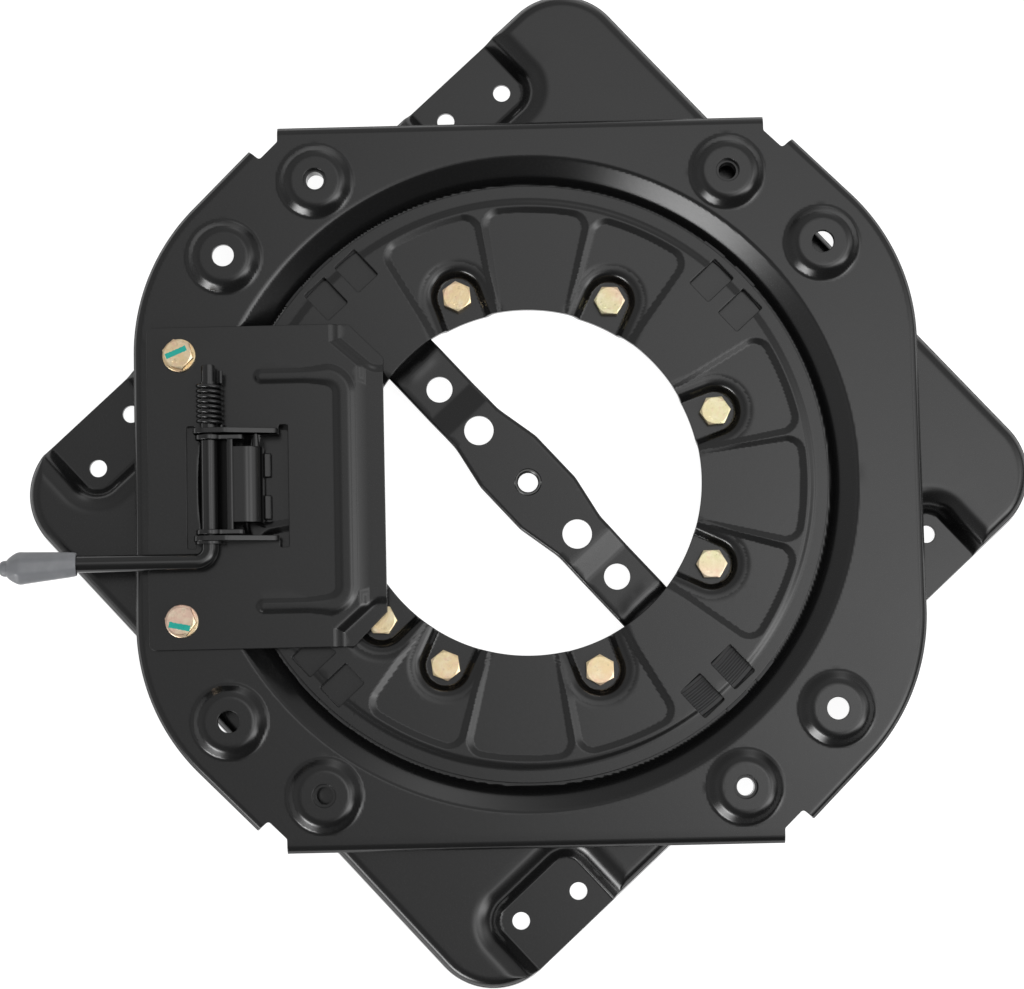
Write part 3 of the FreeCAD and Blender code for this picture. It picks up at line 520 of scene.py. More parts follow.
def cut_edge(shell, height, loop, out, lip, lowest, rim=None, flare=None):
    """Round lip and side of a sheet along one loop, with a folded rim where there is one."""
    inner = loop - out * lip
    z = height(inner[:, 0], inner[:, 1])
    n = slopes(height, inner[:, 0], inner[:, 1])
    bottom = lower_face(z, n, lowest)
    if rim is not None:
        bottom = np.where(rim[0], rim[1], bottom)
    up = np.array([[0.0, 0.0, 1.0]])
    side = np.concatenate([out, np.zeros((len(out), 1))], 1)
    rows, normals = [], []
    for t in (0.0, 30.0, 60.0, 90.0):
        a = math.radians(t)
        rows.append(lifted(inner + out * (lip * math.sin(a)), z - lip * (1 - math.cos(a))))
        mixed = n * math.cos(a) + side * math.sin(a)
        normals.append(mixed / np.linalg.norm(mixed, axis=1)[:, None])
    foot = loop if flare is None else loop + out * flare[:, None]
    rows += [lifted(foot, bottom + 0.2), lifted(foot - out * 0.2, bottom)]
    normals += [side, (side - up) / math.sqrt(2.0)]
    if rim is not None:
        within = foot - out * SHEET
        top = np.maximum(z - 4.0, bottom)
        rows += [lifted(within, bottom), lifted(within, bottom), lifted(within, top)]
        normals += [np.repeat(-up, len(loop), 0), -side, -side]
    shell.strip(rows, normals)


def pressed(shell, height, outer, holes, coarse, fine, lip=0.35, rim=None, flare=None):
    """A pressed sheet: its upper face, its lower face and its cut edges.

    rim is (which points of the outer loop stand on the folded rim, the rim's low edge), and
    flare is how far that low edge stands out."""
    edges = [(np.array(outer), loop_normals(outer))]
    edges += [(np.array(hole), -loop_normals(hole)) for hole in holes]
    inner_loops = [loop - out * lip for loop, out in edges]
    low, high = edges[0][0].min(0) - 0.1, edges[0][0].max(0) + 0.1

    def keep(x, y, size):
        return inside(x, y, outer) | near(x, y, outer, size * 1.5)

    def on_sheet(x, y):
        found = inside(x, y, inner_loops[0])
        for loop in inner_loops[1:]:
            found &= ~inside(x, y, loop)
        return found

    x, y = spread(height, low, high, coarse, fine, keep)
    good = on_sheet(x, y)
    x, y = x[good], y[good]
    for loop in inner_loops:
        far_off = ~near(x, y, loop, fine * 0.45)
        x, y = x[far_off], y[far_off]
    coords = [Vector((a, b)) for a, b in zip(x, y)]
    lines = []
    for loop in inner_loops:
        start = len(coords)
        coords += [Vector(p) for p in loop]
        lines += [(start + k, start + (k + 1) % len(loop)) for k in range(len(loop))]
    verts, _, faces, *_ = delaunay_2d_cdt(coords, lines, [], 0, 1e-5)
    x, y = np.array([v.x for v in verts]), np.array([v.y for v in verts])
    tri = np.array(faces)
    tri = tri[on_sheet(x[tri].mean(1), y[tri].mean(1))]
    (xa, xb, xc), (ya, yb, yc) = x[tri].T, y[tri].T
    clockwise = (xb - xa) * (yc - ya) - (xc - xa) * (yb - ya) < 0.0
    tri[clockwise] = tri[clockwise][:, ::-1]
    z = height(x, y)
    n = slopes(height, x, y)
    lowest = z.min() - SHEET
    shell.add(np.stack([x, y, z], 1), n, tri)
    shell.add(np.stack([x, y, lower_face(z, n, lowest)], 1), -n, tri[:, ::-1])
    cut_edge(shell, height, *edges[0], lip, lowest, rim, flare)
    for loop, out in edges[1:]:
        cut_edge(shell, height, loop, out, lip, lowest)


def stands_for(thing, node, body):
    """Show this piece in place of the plain solid."""
    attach(thing, body)
    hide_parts(node)


def ring_height(x, y):
    """Upper face of the clamp ring: sunk panels, bolt pads and a lower outer lip."""
    r = np.hypot(x, y)
    phi = np.degrees(np.arctan2(y, x))
    flat_z, lip_r = 24.0, 136.6
    z = flat_z - s_bend(r - lip_r, rise=1.2, angle=28.0, low_r=4.0, high_r=4.0)
    quarter = (phi % 90.0) - 45.0
    panel_z, panel_r, corner, widest = 22.9, 131.0, 6.0, 1.2
    for middle, half in ((0.0, 10.4), (23.35, 9.95), (-23.35, 9.95)):
        a = np.radians(np.abs(quarter - middle) - half)
        side = np.where(np.abs(a) < widest, r * np.sin(np.clip(a, -widest, widest)), r)
        d = corner_distance(side, r - panel_r, corner)
        wall = panel_z + s_bend(d - 1.7, rise=1.1, angle=21.0, low_r=0.8, high_r=2.2)
        z = np.minimum(z, np.where(d < 6.0, wall, FAR))
    pad_r = 9.3
    for angle in RING_BOLTS:
        a = math.radians(angle)
        u = x * math.cos(a) + y * math.sin(a) - BOLT_CIRCLE_R
        v = -x * math.sin(a) + y * math.cos(a)
        d = np.where(u > 0.0, np.hypot(u, v), np.abs(v)) - pad_r
        d = np.where(u < -60.0, FAR, d)
        wall = PAD_Z + s_bend(d - 3.9, rise=6.4, angle=65.0, low_r=0.8, high_r=6.5)
        z = soft_min(z, wall + np.clip(d - 7.6, 0.0, None) * 0.5, 1.6)
    return z


def clamp_ring():
    """Pressed ring over the top plate's inner flange."""
    step = 1.2
    holes = [circle_loop(RING_INNER_R, step)]
    holes += [circle_loop(BOLT_HOLE_R, step, *place) for place in ring_bolt_places()]
    window_x, window_middle, window_half = (123.2, 140.4), 10.0, 6.6
    for quarter in range(4):
        c, s = (round(f(math.radians(90.0 * quarter))) for f in (math.cos, math.sin))
        for middle in (window_middle, -window_middle):
            (x0, x1), y0, y1 = window_x, middle - window_half, middle + window_half
            loop = rounded([(x0, y0), (x1, y0), (x1, y1), (x0, y1)], [0.9] * 4, step)
            holes.append([(c * px - s * py, s * px + c * py) for px, py in loop])
    shell = Shell()
    pressed(shell, ring_height, circle_loop(RING_OUTER_R, step), holes, 12.8, fine_step(0.8))
    shell.turned(BASE_TURN)
    stands_for(shell.object("ring_pressing", sheet_paint), "clamp_ring", "base")


def top_edge(x, y):
    """Distance inwards from the top plate's outline."""
    ax, ay = np.abs(x), np.abs(y)
    arc_x, arc_y, arc_r = 89.0, 65.4, 100.0
    arc = np.hypot(ax - arc_x, ay - arc_y) - arc_r
    slant = (ax + ay - 295.8) / math.sqrt(2.0)
    side = np.where(ay < arc_y, ax - TOP_X, np.where(ax - arc_x > ay - arc_y, arc, slant))
    return -np.maximum(side, ay - TOP_Y)


def top_height(x, y):
    """Upper face of the top plate: track slope, eight bosses and the folded rim."""
    track_z, slope_r, boss_r, rim_r = 17.7, 152.35, 15.0, 4.0
    z = track_z + s_bend(np.hypot(x, y) - slope_r, rise=10.3, angle=41.0, low_r=1.0, high_r=3.0)
    for bx, by, _ in SEAT_BOSSES:
        d = np.hypot(np.abs(x) - bx, np.abs(y) - by)
        z = z + s_bend(boss_r - d, rise=4.5, angle=42.0, low_r=2.5, high_r=6.0)
    edge = np.clip(rim_r - top_edge(x, y), 0.0, rim_r)
    return z - (rim_r - np.sqrt(rim_r * rim_r - edge * edge))


def top_plate():
    """Pressed plate that carries the seat."""
    quarter = [(TOP_X, 106.8, 100.0), (132.0, 163.8, 0.0), (126.8, 159.4, 1.5), (118.0, 168.0, 1.5),
               (118.0, TOP_Y, 0.0)]
    points = quarter + [(-x, y, r) for x, y, r in reversed(quarter)]
    points += [(-x, -y, r) for x, y, r in quarter] + [(x, -y, r) for x, y, r in reversed(quarter)]
    loop = rounded([p[:2] for p in points], [p[2] for p in points], 1.3)
    opening_r = 120.0
    holes = [circle_loop(opening_r, 2.0)]
    for bx, by, r in SEAT_BOSSES:
        holes += [circle_loop(r, 1.0, sx * bx, sy * by) for sx in (1, -1) for sy in (1, -1)]
    holes += [circle_loop(BOLT_HOLE_R, 1.2, *place) for place in LATCH_BOLTS]
    p = np.array(loop)
    on_rim, rim_z = top_edge(p[:, 0], p[:, 1]) < 0.05, 15.6
    shell = Shell()
    pressed(shell, top_height, loop, holes, 16.0, fine_step(1.0), rim=(on_rim, rim_z))
    stands_for(shell.object("top_pressing", sheet_paint), "top_plate", "top")


def ridge_distance(x, y):
    """Distance from the middle line of the latch plate's ridge."""
    x0, x1, y0, y1, corner, far_left = -127.0, -87.2, -57.4, 53.0, 9.0, -400.0
    body = np.abs(box_distance(x, y, far_left, x1, y0, y1, corner))
    ends = np.minimum(np.hypot(x - x0, y - y0), np.hypot(x - x0, y - y1))
    narrow = 1.0 + 0.5 * np.clip((-95.0 - x) / 12.0, 0.0, 1.0)
    return np.where(x < x0, ends, body) * narrow


def latch_height(x, y):
    """Upper face of the latch plate: ridge, lowered strip and lower corners."""
    ridge_half, strip_z, strip_x, corner_z = 3.4, 29.6, -80.3, 27.8
    d = ridge_half - ridge_distance(x, y)
    z = LATCH_Z + s_bend(d, rise=1.2, angle=22.0, low_r=2.0, high_r=6.0)
    strip = strip_z + s_bend(strip_x - x, rise=3.0, angle=28.0, low_r=4.0, high_r=3.0)
    z = soft_min(z, strip, 0.8)
    left, beside = -90.0 - x, 56.2 - np.abs(y)
    slant_x, slant_y = 14.3, 16.2
    slant = ((-73.8 - x) * slant_x + beside * slant_y) / math.hypot(slant_x, slant_y)
    d = soft_max(np.maximum(left, slant), beside, 2.0)
    corner = corner_z + s_bend(d - 2.2, rise=4.8, angle=40.0, low_r=2.5, high_r=3.0)
    return soft_min(z, corner, 1.0)


def slab(shell, loop, low, high, place, lip=0.35):
    """Flat plate with round edges. place turns plan and height into the scene's millimetres, and
    with True as its last value it turns a normal."""
    p = np.array(loop)
    out = loop_normals(loop)
    count = len(p)
    rows, normals = [], []
    bend = (90.0, 60.0, 30.0, 0.0)
    for z, way, turns in ((high, 1.0, bend), (low, -1.0, bend[::-1])):
        for angle in turns:
            c, s = math.cos(math.radians(angle)), math.sin(math.radians(angle))
            at = p - out * (lip * (1.0 - c))
            rows.append(place(at[:, 0], at[:, 1], np.full(count, z - way * lip * (1.0 - s))))
            lean = place(out[:, 0] * c, out[:, 1] * c, np.full(count, way * s), True)
            normals.append(lean / np.linalg.norm(lean, axis=1)[:, None])
    shell.strip(rows, normals)
    order = list(range(count))
    for cap, way in ((rows[0], 1.0), (rows[-1], -1.0)):
        flat = place(np.zeros(count), np.zeros(count), np.full(count, way), True)
        shell.add(cap, flat, [order if way > 0 else order[::-1]])


def latch_plate():
    """Folded plate that carries the lever."""
    corners = [(-182.0, -77.6), (-84.8, -77.6), (-68.5, -61.3),
               (-68.5, 61.3), (-84.8, 77.6), (-182.0, 77.6)]
    step = 1.2
    loop = rounded(corners, [3.0, 1.0, 1.0, 1.0, 1.0, 3.0], step)
    gap = [(-163.2, -29.4), (-159.0, -29.4), (-159.0, -24.0), (-119.0, -24.0),
           (-119.0, -29.4), (-114.6, -29.4), (-114.6, 29.4), (-119.0, 29.4),
           (-119.0, 24.8), (-159.0, 24.8), (-159.0, 29.4), (-163.2, 29.4)]
    holes = [rounded(gap, [0.8] * len(gap), step)]
    holes += [circle_loop(BOLT_HOLE_R, step, *place) for place in LATCH_BOLTS]
    shell = Shell()
    pressed(shell, latch_height, loop, holes, 9.6, fine_step(0.6))
    profile = [(-159.0, 28.3), (-119.0, 28.3), (-119.0, 36.0), (-143.0, 44.5), (-159.0, 44.5)]
    ear = rounded(profile, [0.0, 0.0, 2.5, 6.0, 5.0], 1.0)
    inner_y, outer_y, middle_y = 24.4, 27.0, 0.4
    for side in (1.0, -1.0):
        def upright(x, z, t, turn=False, side=side):
            y = t * side
            return np.stack([x, y if turn else y + middle_y, z], 1)
        slab(shell, ear, inner_y, outer_y, upright)
    stands_for(shell.object("latch_pressing", sheet_paint), "latch_plate", "top")


def base_height(x, y):
    """Upper face of the base plate: round rim and four sunk feet."""
    tray_z, foot_x, foot_y, corner, outside = 14.0, (96.0, 145.9), 140.8, 9.0, 500.0
    z = np.full(x.shape, tray_z)
    for side in (1.0, -1.0):
        for end in (1.0, -1.0):
            x0, x1 = sorted(FEET_X + end * reach for reach in foot_x)
            d = box_distance(x, side * y, x0, x1, foot_y, outside, corner)
            wall = SHEET + s_bend(d - 6.6, rise=11.0, angle=58.0, low_r=0.8, high_r=13.0)
            z = np.minimum(z, np.where(d < 18.0, wall, FAR))
    rim_r, rim_z = 6.0, 8.0
    d = box_distance(x, y, -BASE_X, BASE_X, -BASE_Y, BASE_Y, BASE_CORNER_R)
    outward = np.clip(7.2 + d, 0.0, 5.98)
    return soft_min(z, rim_z + np.sqrt(rim_r * rim_r - outward * outward), 0.6)


def base_plate():
    """Drawn tray that stands on four sunk feet."""
    corners = [(-BASE_X, -BASE_Y), (BASE_X, -BASE_Y), (BASE_X, BASE_Y), (-BASE_X, BASE_Y)]
    loop = np.array(rounded(corners, [BASE_CORNER_R] * 4, 1.3))
    out = loop_normals(loop)
    within = loop - out * 1.5
    # The rim leans in by more where it is higher
    top = np.clip(base_height(within[:, 0], within[:, 1]), SHEET, 8.84)
    back = 0.42 + (top - SHEET) / 5.84 * 0.82
    loop = loop - out * back[:, None]
    opening_r, hole_r = 85.1, 4.25
    holes = [circle_loop(opening_r, 2.0)]
    for u, v in FLOOR_HOLES:
        holes += [circle_loop(hole_r, 1.0, FEET_X + e * u, s * v) for e in (1, -1) for s in (1, -1)]
    shell = Shell()
    pressed(shell, base_height, [tuple(p) for p in loop], holes, 16.0, fine_step(1.0),
            rim=(np.ones(len(loop), bool), 0.0), flare=back)
    shell.turned(BASE_TURN)
    stands_for(shell.object("base_pressing", sheet_paint), "base_plate", "base")


# Round parts and fasteners

def lathe(shell, profile, place, count=48):
    """Turned part: profile is (radius, height) from one end to the other, with sharp corners."""
    t = 2.0 * np.pi * np.arange(count) / count
    for (r0, z0), (r1, z1) in zip(profile, profile[1:]):
        nr, nz = z1 - z0, r0 - r1
        size = math.hypot(nr, nz)
        if size < 1e-6:
            continue
        nr, nz = nr / size, nz / size
        ends = ((r0, z0), (r1, z1))
        rows = [place(r * np.cos(t), r * np.sin(t), np.full(count, z), 1.0) for r, z in ends]
        flat = place(nr * np.cos(t), nr * np.sin(t), np.full(count, nz), 0.0)
        shell.strip(rows, [flat, flat])


def upright_at(x, y):
    """Placing for a part that stands upright at a point."""
    return lambda u, v, w, on: np.stack([u + x * on, v + y * on, w], 1)


def sweep(shell, path, radii, sides):
    """Round bar with flat ends along a path of points, with a radius at each."""
    p = np.array(path, float)
    along = np.gradient(p, axis=0)
    along /= np.linalg.norm(along, axis=1)[:, None]
    side = np.cross(along[0], (0.0, 0.0, 1.0))
    if np.linalg.norm(side) < 0.1:
        side = np.cross(along[0], (0.0, 1.0, 0.0))
    rows, normals = [], []
    t = 2.0 * np.pi * np.arange(sides) / sides
    for k in range(len(p)):
        side = side - along[k] * side.dot(along[k])
        side /= np.linalg.norm(side)
        over = np.cross(along[k], side)
        out = np.outer(np.cos(t), side) + np.outer(np.sin(t), over)
        rows.append(p[k] + out * radii[k])
        normals.append(out)
    shell.strip(rows, normals)
    for row, way in ((rows[0], -along[0]), (rows[-1], along[-1])):
        order = list(range(sides))
        turn = np.cross(row[1] - row[0], row[2] - row[1]).dot(way)
        shell.add(row, np.repeat([way], sides, 0), [order if turn > 0 else order[::-1]])


def hex_head(shell, x, y, seat, angle):
    """Hexagon head with a round chamfer and plain grade marks."""
    top = seat + HEAD_HEIGHT
    flat_r = HEAD_ACROSS / 2.0
    round_r = flat_r * 0.96
    slope = math.radians(20.0)
    steps = 13
    for k in range(6):
        middle = math.radians(angle + 30.0 + 60.0 * k)
        t = np.radians(np.linspace(-30.0, 30.0, steps))
        reach = flat_r / np.cos(t)
        c, s = np.cos(t + middle), np.sin(t + middle)
        inner = np.stack([x + round_r * c, y + round_r * s, np.full(steps, top)], 1)
        edge_z = top - (reach - round_r) * math.tan(slope)
        outer = np.stack([x + reach * c, y + reach * s, edge_z], 1)
        lean = np.stack([math.sin(slope) * c, math.sin(slope) * s, np.full(steps, math.cos(slope))], 1)
        shell.strip([inner, outer], [lean, lean], closed=False)
        foot = outer.copy()
        foot[:, 2] = seat
        wall = np.repeat([[math.cos(middle), math.sin(middle), 0.0]], steps, 0)
        shell.strip([outer, foot], [wall, wall], closed=False)
    t = np.radians(np.arange(0.0, 360.0, 5.0)) + math.radians(angle)
    count = len(t)
    place = upright_at(x, y)
    rings = [(round_r, 0.0), (round_r - 0.25, 0.06), (round_r - 0.55, 0.0)]
    rows = [place(r * np.cos(t), r * np.sin(t), np.full(count, top + dz), 1.0) for r, dz in rings]
    up = np.repeat([[0.0, 0.0, 1.0]], count, 0)
    shell.strip(rows, [up, up, up])
    shell.add(rows[-1], up, [list(range(count))])
    grade_marks(shell, x, y, top, angle)


def grade_marks(shell, x, y, top, angle):
    """Raised plain strokes round the face of a bolt's head, in two groups."""
    start, end, half = 2.6, 4.1, 0.28
    corners = [(start, -half), (end, -half), (end, half), (start, half)]
    up = np.repeat([[0.0, 0.0, 1.0]], 4, 0)
    for k in range(9):
        a = math.radians(angle + 14.0 + 24.0 * k + (60.0 if k > 3 else 0.0))
        c, s = math.cos(a), math.sin(a)
        high = [(x + u * c - v * s, y + u * s + v * c, top + 0.12) for u, v in corners]
        low = [(px + (px - x) * 0.04, py + (py - y) * 0.04, pz - 0.14) for px, py, pz in high]
        shell.add(high, up, [(0, 1, 2, 3)])
        for i in range(4):
            j = (i + 1) % 4
            side = np.array([high[i], high[j], low[j], low[i]])
            normal = np.cross(side[1] - side[0], side[3] - side[0])
            normal /= np.linalg.norm(normal)
            if normal[2] < 0.0:
                normal, side = -normal, side[::-1]
            shell.add(side, np.repeat([normal], 4, 0), [(0, 1, 2, 3)])


def threaded(low, high):
    """Profile of a bolt's thread, from its end upwards."""
    root_r = SHANK_R - 0.55
    z = low + 0.5
    profile = [(0.0, low), (SHANK_R - 1.0, low), (root_r, z)]
    while z + PITCH < high:
        profile += [(SHANK_R, z + PITCH * 0.45), (SHANK_R, z + PITCH * 0.55), (root_r, z + PITCH)]
        z += PITCH
    return profile + [(SHANK_R, z), (SHANK_R, high)]


def bolts(name, node, body, places, angles, seat, end, turn, paint):
    """Zinc-plated hexagon bolts from end up to seat, each head at its own angle in the picture."""
    shell = Shell()
    for (x, y), angle in zip(places, angles):
        hex_head(shell, x, y, seat, angle - turn)
        lathe(shell, threaded(end, seat - 4.0) + [(SHANK_R, seat)], upright_at(x, y), 24)
    shell.turned(turn)
    stands_for(shell.object(name, paint), node, body)


def spring():
    """Coiled spring round the rod, with a leg at each end."""
    x, z = ROD_X + 0.4, ROD_Z
    coil_r, wire_r, pitch, turns, steps = 5.5, 1.0, 2.41, 8, 32
    path = [(x + coil_r, 27.7 + 0.35 * k, z) for k in range(5)]
    for k in range(turns * steps + 1):
        a = 2.0 * math.pi * k / steps
        path.append((x + coil_r * math.cos(a), 29.9 + pitch * k / steps, z + coil_r * math.sin(a)))
    path += [(x + coil_r, 49.6 + 0.6 * k, z + 0.1) for k in range(10)]
    shell = Shell()
    sweep(shell, path, [wire_r] * len(path), 14)
    stands_for(shell.object("coiled_spring", spring_paint), "lever_spring", "top")


def lever():
    """Bent rod with a turned-down tip."""
    path, radii = [], []

    def to(y, out=0.0, r=ROD_R):
        path.append((ROD_X - out * math.cos(LEVER_RISE), y, ROD_Z + out * math.sin(LEVER_RISE)))
        radii.append(r)

    for y, r in ((57.9, 2.7), (57.3, 3.3), (52.0, 3.3), (49.75, 3.3), (49.6, 3.95), (49.0, ROD_R)):
        to(y, r=r)
    start, end, bend_r = 46.0, -29.6, 6.6
    for k in range(24):
        to(start - k * (start - end) / 23.0)
    for k in range(1, 15):
        a = math.pi / 2.0 * k / 14.0
        to(LEVER_Y + bend_r * (1.0 - math.sin(a)), bend_r * (1.0 - math.cos(a)))
    for k in range(1, 28):
        to(LEVER_Y, bend_r + k * 3.0)
    shell = Shell()
    sweep(shell, path, radii, 28)
    stands_for(shell.object("bent_rod", rod_paint), "lever_rod", "lever")


def bar_height(x, y):
    """Upper face of the cross bar: its middle is cranked up."""
    ay = np.abs(y)
    middle_z, edge_r = 20.5, 1.8
    half = 14.0 + 4.3 * np.clip((36.0 - ay) / 22.0, 0.0, 1.0)
    edge = np.clip(edge_r - half + np.abs(x), 0.0, 1.75)
    roll = edge_r - np.sqrt(edge_r * edge_r - edge * edge)
    bead = np.exp(-((ay - 76.5) / 3.0) ** 2 - (x / 9.0) ** 4) * 0.35
    sag = s_bend(ay - 80.0, rise=1.2, angle=14.0, low_r=8.0, high_r=8.0)
    crank = s_bend(ay - 48.5, rise=3.5, angle=18.0, low_r=9.0, high_r=9.0)
    return middle_z - crank - roll + bead - sag


def cross_bar():
    """Cranked bar across the opening."""
    side = [(14.0, -104.0), (14.0, -36.0), (18.3, -14.0), (18.3, 14.0), (14.0, 36.0), (14.0, 104.0)]
    corners = side + [(-x, y) for x, y in reversed(side)]
    loop = rounded(corners, [1.0, 30.0, 18.0, 18.0, 30.0, 1.0] * 2, 1.0)
    bush_hole_r = 6.35
    holes = [circle_loop(r, 0.8, 0.0, s * y) for y, r in ((34.5, 7.1), (62.5, 6.3)) for s in (1, -1)]
    holes.append(circle_loop(bush_hole_r, 0.6))
    shell = Shell()
    pressed(shell, bar_height, loop, holes, 8.0, fine_step(0.5), lip=0.3)
    shell.turned(BASE_TURN)
    stands_for(shell.object("cranked_bar", sheet_paint), "cross_bar", "base")


def bush():
    """Threaded bush in the middle of the bar."""
    profile = [(5.2, 12.8), (6.0, 12.8), (6.3, 13.1), (6.3, 20.6), (6.1, 20.8), (5.5, 20.8)]
    z, step = 20.2, 0.55
    while z > 13.6:
        profile += [(4.9, z), (5.25, z - step)]
        z -= 2.0 * step
    profile.append((5.2, 12.8))
    shell = Shell()
    lathe(shell, profile, upright_at(0.0, 0.0))
    stands_for(shell.object("threaded_bush", bush_paint), "centre_bush", "base")


def washers():
    """Washers of the latch bolts, with round edges."""
    profile = [(BOLT_HOLE_R, LATCH_Z), (7.8, LATCH_Z), (8.0, 31.2), (8.0, 32.1), (7.9, 32.4),
               (7.6, WASHER_Z), (4.5, WASHER_Z), (BOLT_HOLE_R, 32.5), (BOLT_HOLE_R, LATCH_Z)]
    shell = Shell()
    for x, y in LATCH_BOLTS:
        lathe(shell, profile, upright_at(x, y))
    stands_for(shell.object("flat_washers", marked_zinc), "latch_washers", "top")


def skin(shell, rows):
    """Closed bands of faces between rows of points, smooth all over."""
    p = np.array(rows)
    around = np.roll(p, -1, 1) - np.roll(p, 1, 1)
    along = np.gradient(p, axis=0)
    n = np.cross(around, along)
    n /= np.maximum(np.linalg.norm(n, axis=2), 1e-9)[..., None]
    middle = len(p) // 2
    if (n[middle] * (p[middle] - p[middle].mean(0))).sum() < 0.0:
        n = -n
    shell.strip(list(p), list(n))


def grip():
    """Moulded grip: a sleeve with eight soft flats, a tapered end and a round tip."""
    rise_c, rise_s = math.cos(LEVER_RISE), math.sin(LEVER_RISE)
    # Distance along the lever and radius, from inside the sleeve round its open end to the tip
    sections = [(68.0, 4.2), (67.0, 4.9), (63.3, 5.0), (63.05, 5.1), (63.0, 5.3), (63.2, 5.55),
                (64.2, 5.72)]
    sections += [(64.2 + k * 2.3, 5.72 + k * 0.172) for k in range(1, 11)]
    sections += [(88.4, 7.58), (89.6, 7.6), (90.6, 7.4), (91.8, 6.9), (93.4, 6.0), (94.6, 5.1),
                 (95.2, 4.5), (95.5, 4.05), (95.9, 3.85), (96.5, 3.85), (97.4, 3.7), (98.3, 3.25),
                 (99.1, 2.4), (99.6, 1.3), (99.75, 0.2)]
    t = 2.0 * np.pi * np.arange(64) / 64
    flats = 1.0 / np.cos((t + math.pi / 8) % (math.pi / 4) - math.pi / 8)
    rows = []
    for d, r in sections:
        flatness = min(1.0, max(0.0, (d - 63.2) / 2.0)) * min(1.0, max(0.0, (95.0 - d) / 4.0))
        reach = r * (1.0 + (np.minimum(flats, 1.045) - 1.0) * flatness)
        aside = -1.5 * min(1.0, (d - 63.0) / 27.0)
        y = LEVER_Y + aside + reach * np.cos(t)
        over = reach * np.sin(t)
        x, z = ROD_X - d * rise_c + over * rise_s, ROD_Z + d * rise_s + over * rise_c
        rows.append(np.stack([x, y, z], 1))
    shell = Shell()
    skin(shell, rows)
    stands_for(shell.object("lever_sleeve", grip_paint), "lever_grip", "lever")


def glide_ribs():
    """Fine ribs of the sliding pad that shows in one pair of lock windows."""
    shell = Shell()
    t = np.radians(np.arange(-101.0, -78.9, 0.5))
    profile = [(123.6, 18.3), (123.6, 20.0), (124.0, 20.4), (125.4, 20.4), (125.8, 20.0)]
    r = 126.2
    while r < 137.0:
        profile += [(r, 19.9), (r + 0.2, 20.2), (r + 0.9, 20.2), (r + 1.1, 19.9)]
        r += 1.3
    profile += [(137.4, 19.8), (137.8, 20.4), (139.6, 20.4), (140.0, 20.0), (140.0, 18.3)]
    for (r0, z0), (r1, z1) in zip(profile, profile[1:]):
        size = math.hypot(r1 - r0, z1 - z0)
        nr, nz = (z0 - z1) / size, (r1 - r0) / size
        ends = ((r0, z0), (r1, z1))
        rows = [np.stack([r * np.cos(t), r * np.sin(t), np.full(len(t), z)], 1) for r, z in ends]
        n = np.stack([nr * np.cos(t), nr * np.sin(t), np.full(len(t), nz)], 1)
        shell.strip(rows, [n, n], closed=False)
    shell.turned(BASE_TURN)
    ribs = shell.object("pad_ribs", slide_paint)
    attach(ribs, "base")


def pawl():
    """Folded pawl: cheeks round the rod, a curved back and two teeth."""
    shell = Shell()
    x, y0 = -131.8, 0.4

    def side_face(points, radii, low, high, lip=0.4):
        loop = rounded([(x + u, z) for u, z in points], radii, 0.8)
        area = sum(a[0] * b[1] - b[0] * a[1] for a, b in zip(loop, loop[1:] + loop[:1]))
        if area < 0.0:
            loop.reverse()

        def place(u, w, t, turn=False):
            return np.stack([u, t if turn else t + y0, w], 1)
        slab(shell, loop, low, high, place, lip)

    back = [(-8.7, 41.0), (5.4, 41.0), (5.4, 27.0), (2.9, 27.0), (2.9, 38.5), (-8.7, 38.5)]
    side_face(back, [0.5, 8.0, 0.0, 0.0, 5.5, 0.5], -18.2, 18.2)
    foot = [(5.4, 28.0), (5.4, 27.0), (8.6, 25.0), (8.6, 24.4), (2.9, 24.4), (2.9, 28.0)]
    for low, high in ((4.4, 15.9), (-15.9, -4.4)):
        side_face(foot, [0.0, 0.8, 0.3, 0.3, 0.3, 0.0], low, high, 0.5)
    bridge = [(-8.2, 41.0), (-10.5, 41.0), (-16.1, 36.5), (-16.1, 34.0), (-9.5, 38.5), (-8.2, 38.5)]
    side_face(bridge, [0.0, 1.5, 0.8, 0.8, 1.5, 0.0], -23.9, 23.9, 0.5)
    eye_r = 6.6
    turns = [math.radians(angle) for angle in range(35, 341, 15)]
    cheek = [(-19.7 + eye_r * math.cos(a), ROD_Z + eye_r * math.sin(a)) for a in turns]
    cheek += [(-3.2, 36.5), (-3.2, 41.0)]
    for low, high in ((21.4, 23.9), (-23.9, -21.4)):
        side_face(cheek, [0.0] * (len(cheek) - 2) + [0.6, 1.5], low, high, 0.5)
    stands_for(shell.object("folded_pawl", rod_paint), "pawl", "lever")


def pin():
    """Tapered stop pin on the pawl."""
    x, z = -129.2, 38.5
    path = [(x, 18.3 + k * 0.5, z) for k in range(13)]
    radii = [1.9 - 0.06 * k for k in range(12)] + [0.9]
    shell = Shell()
    sweep(shell, path, radii, 20)
    stands_for(shell.object("tapered_pin", rod_paint), "stop_pin", "lever")


clamp_ring()
top_plate()
latch_plate()
base_plate()
bolts("ring_hexagon_bolts", "ring_bolts", "base", ring_bolt_places(),
      [-2.0, 34.7, 10.0, 50.0, 37.3, 30.0, 0.0, 4.0, 56.6],
      seat=PAD_Z, end=3.0, turn=BASE_TURN, paint=zinc_paint)
bolts("latch_hexagon_bolts", "latch_bolts", "top", LATCH_BOLTS, [45.0, 51.0],
      seat=WASHER_Z, end=17.0, turn=0.0, paint=marked_zinc)
washers()
spring()
lever()
cross_bar()
bush()
grip()
glide_ribs()
pawl()
pin()


# Room, light and camera

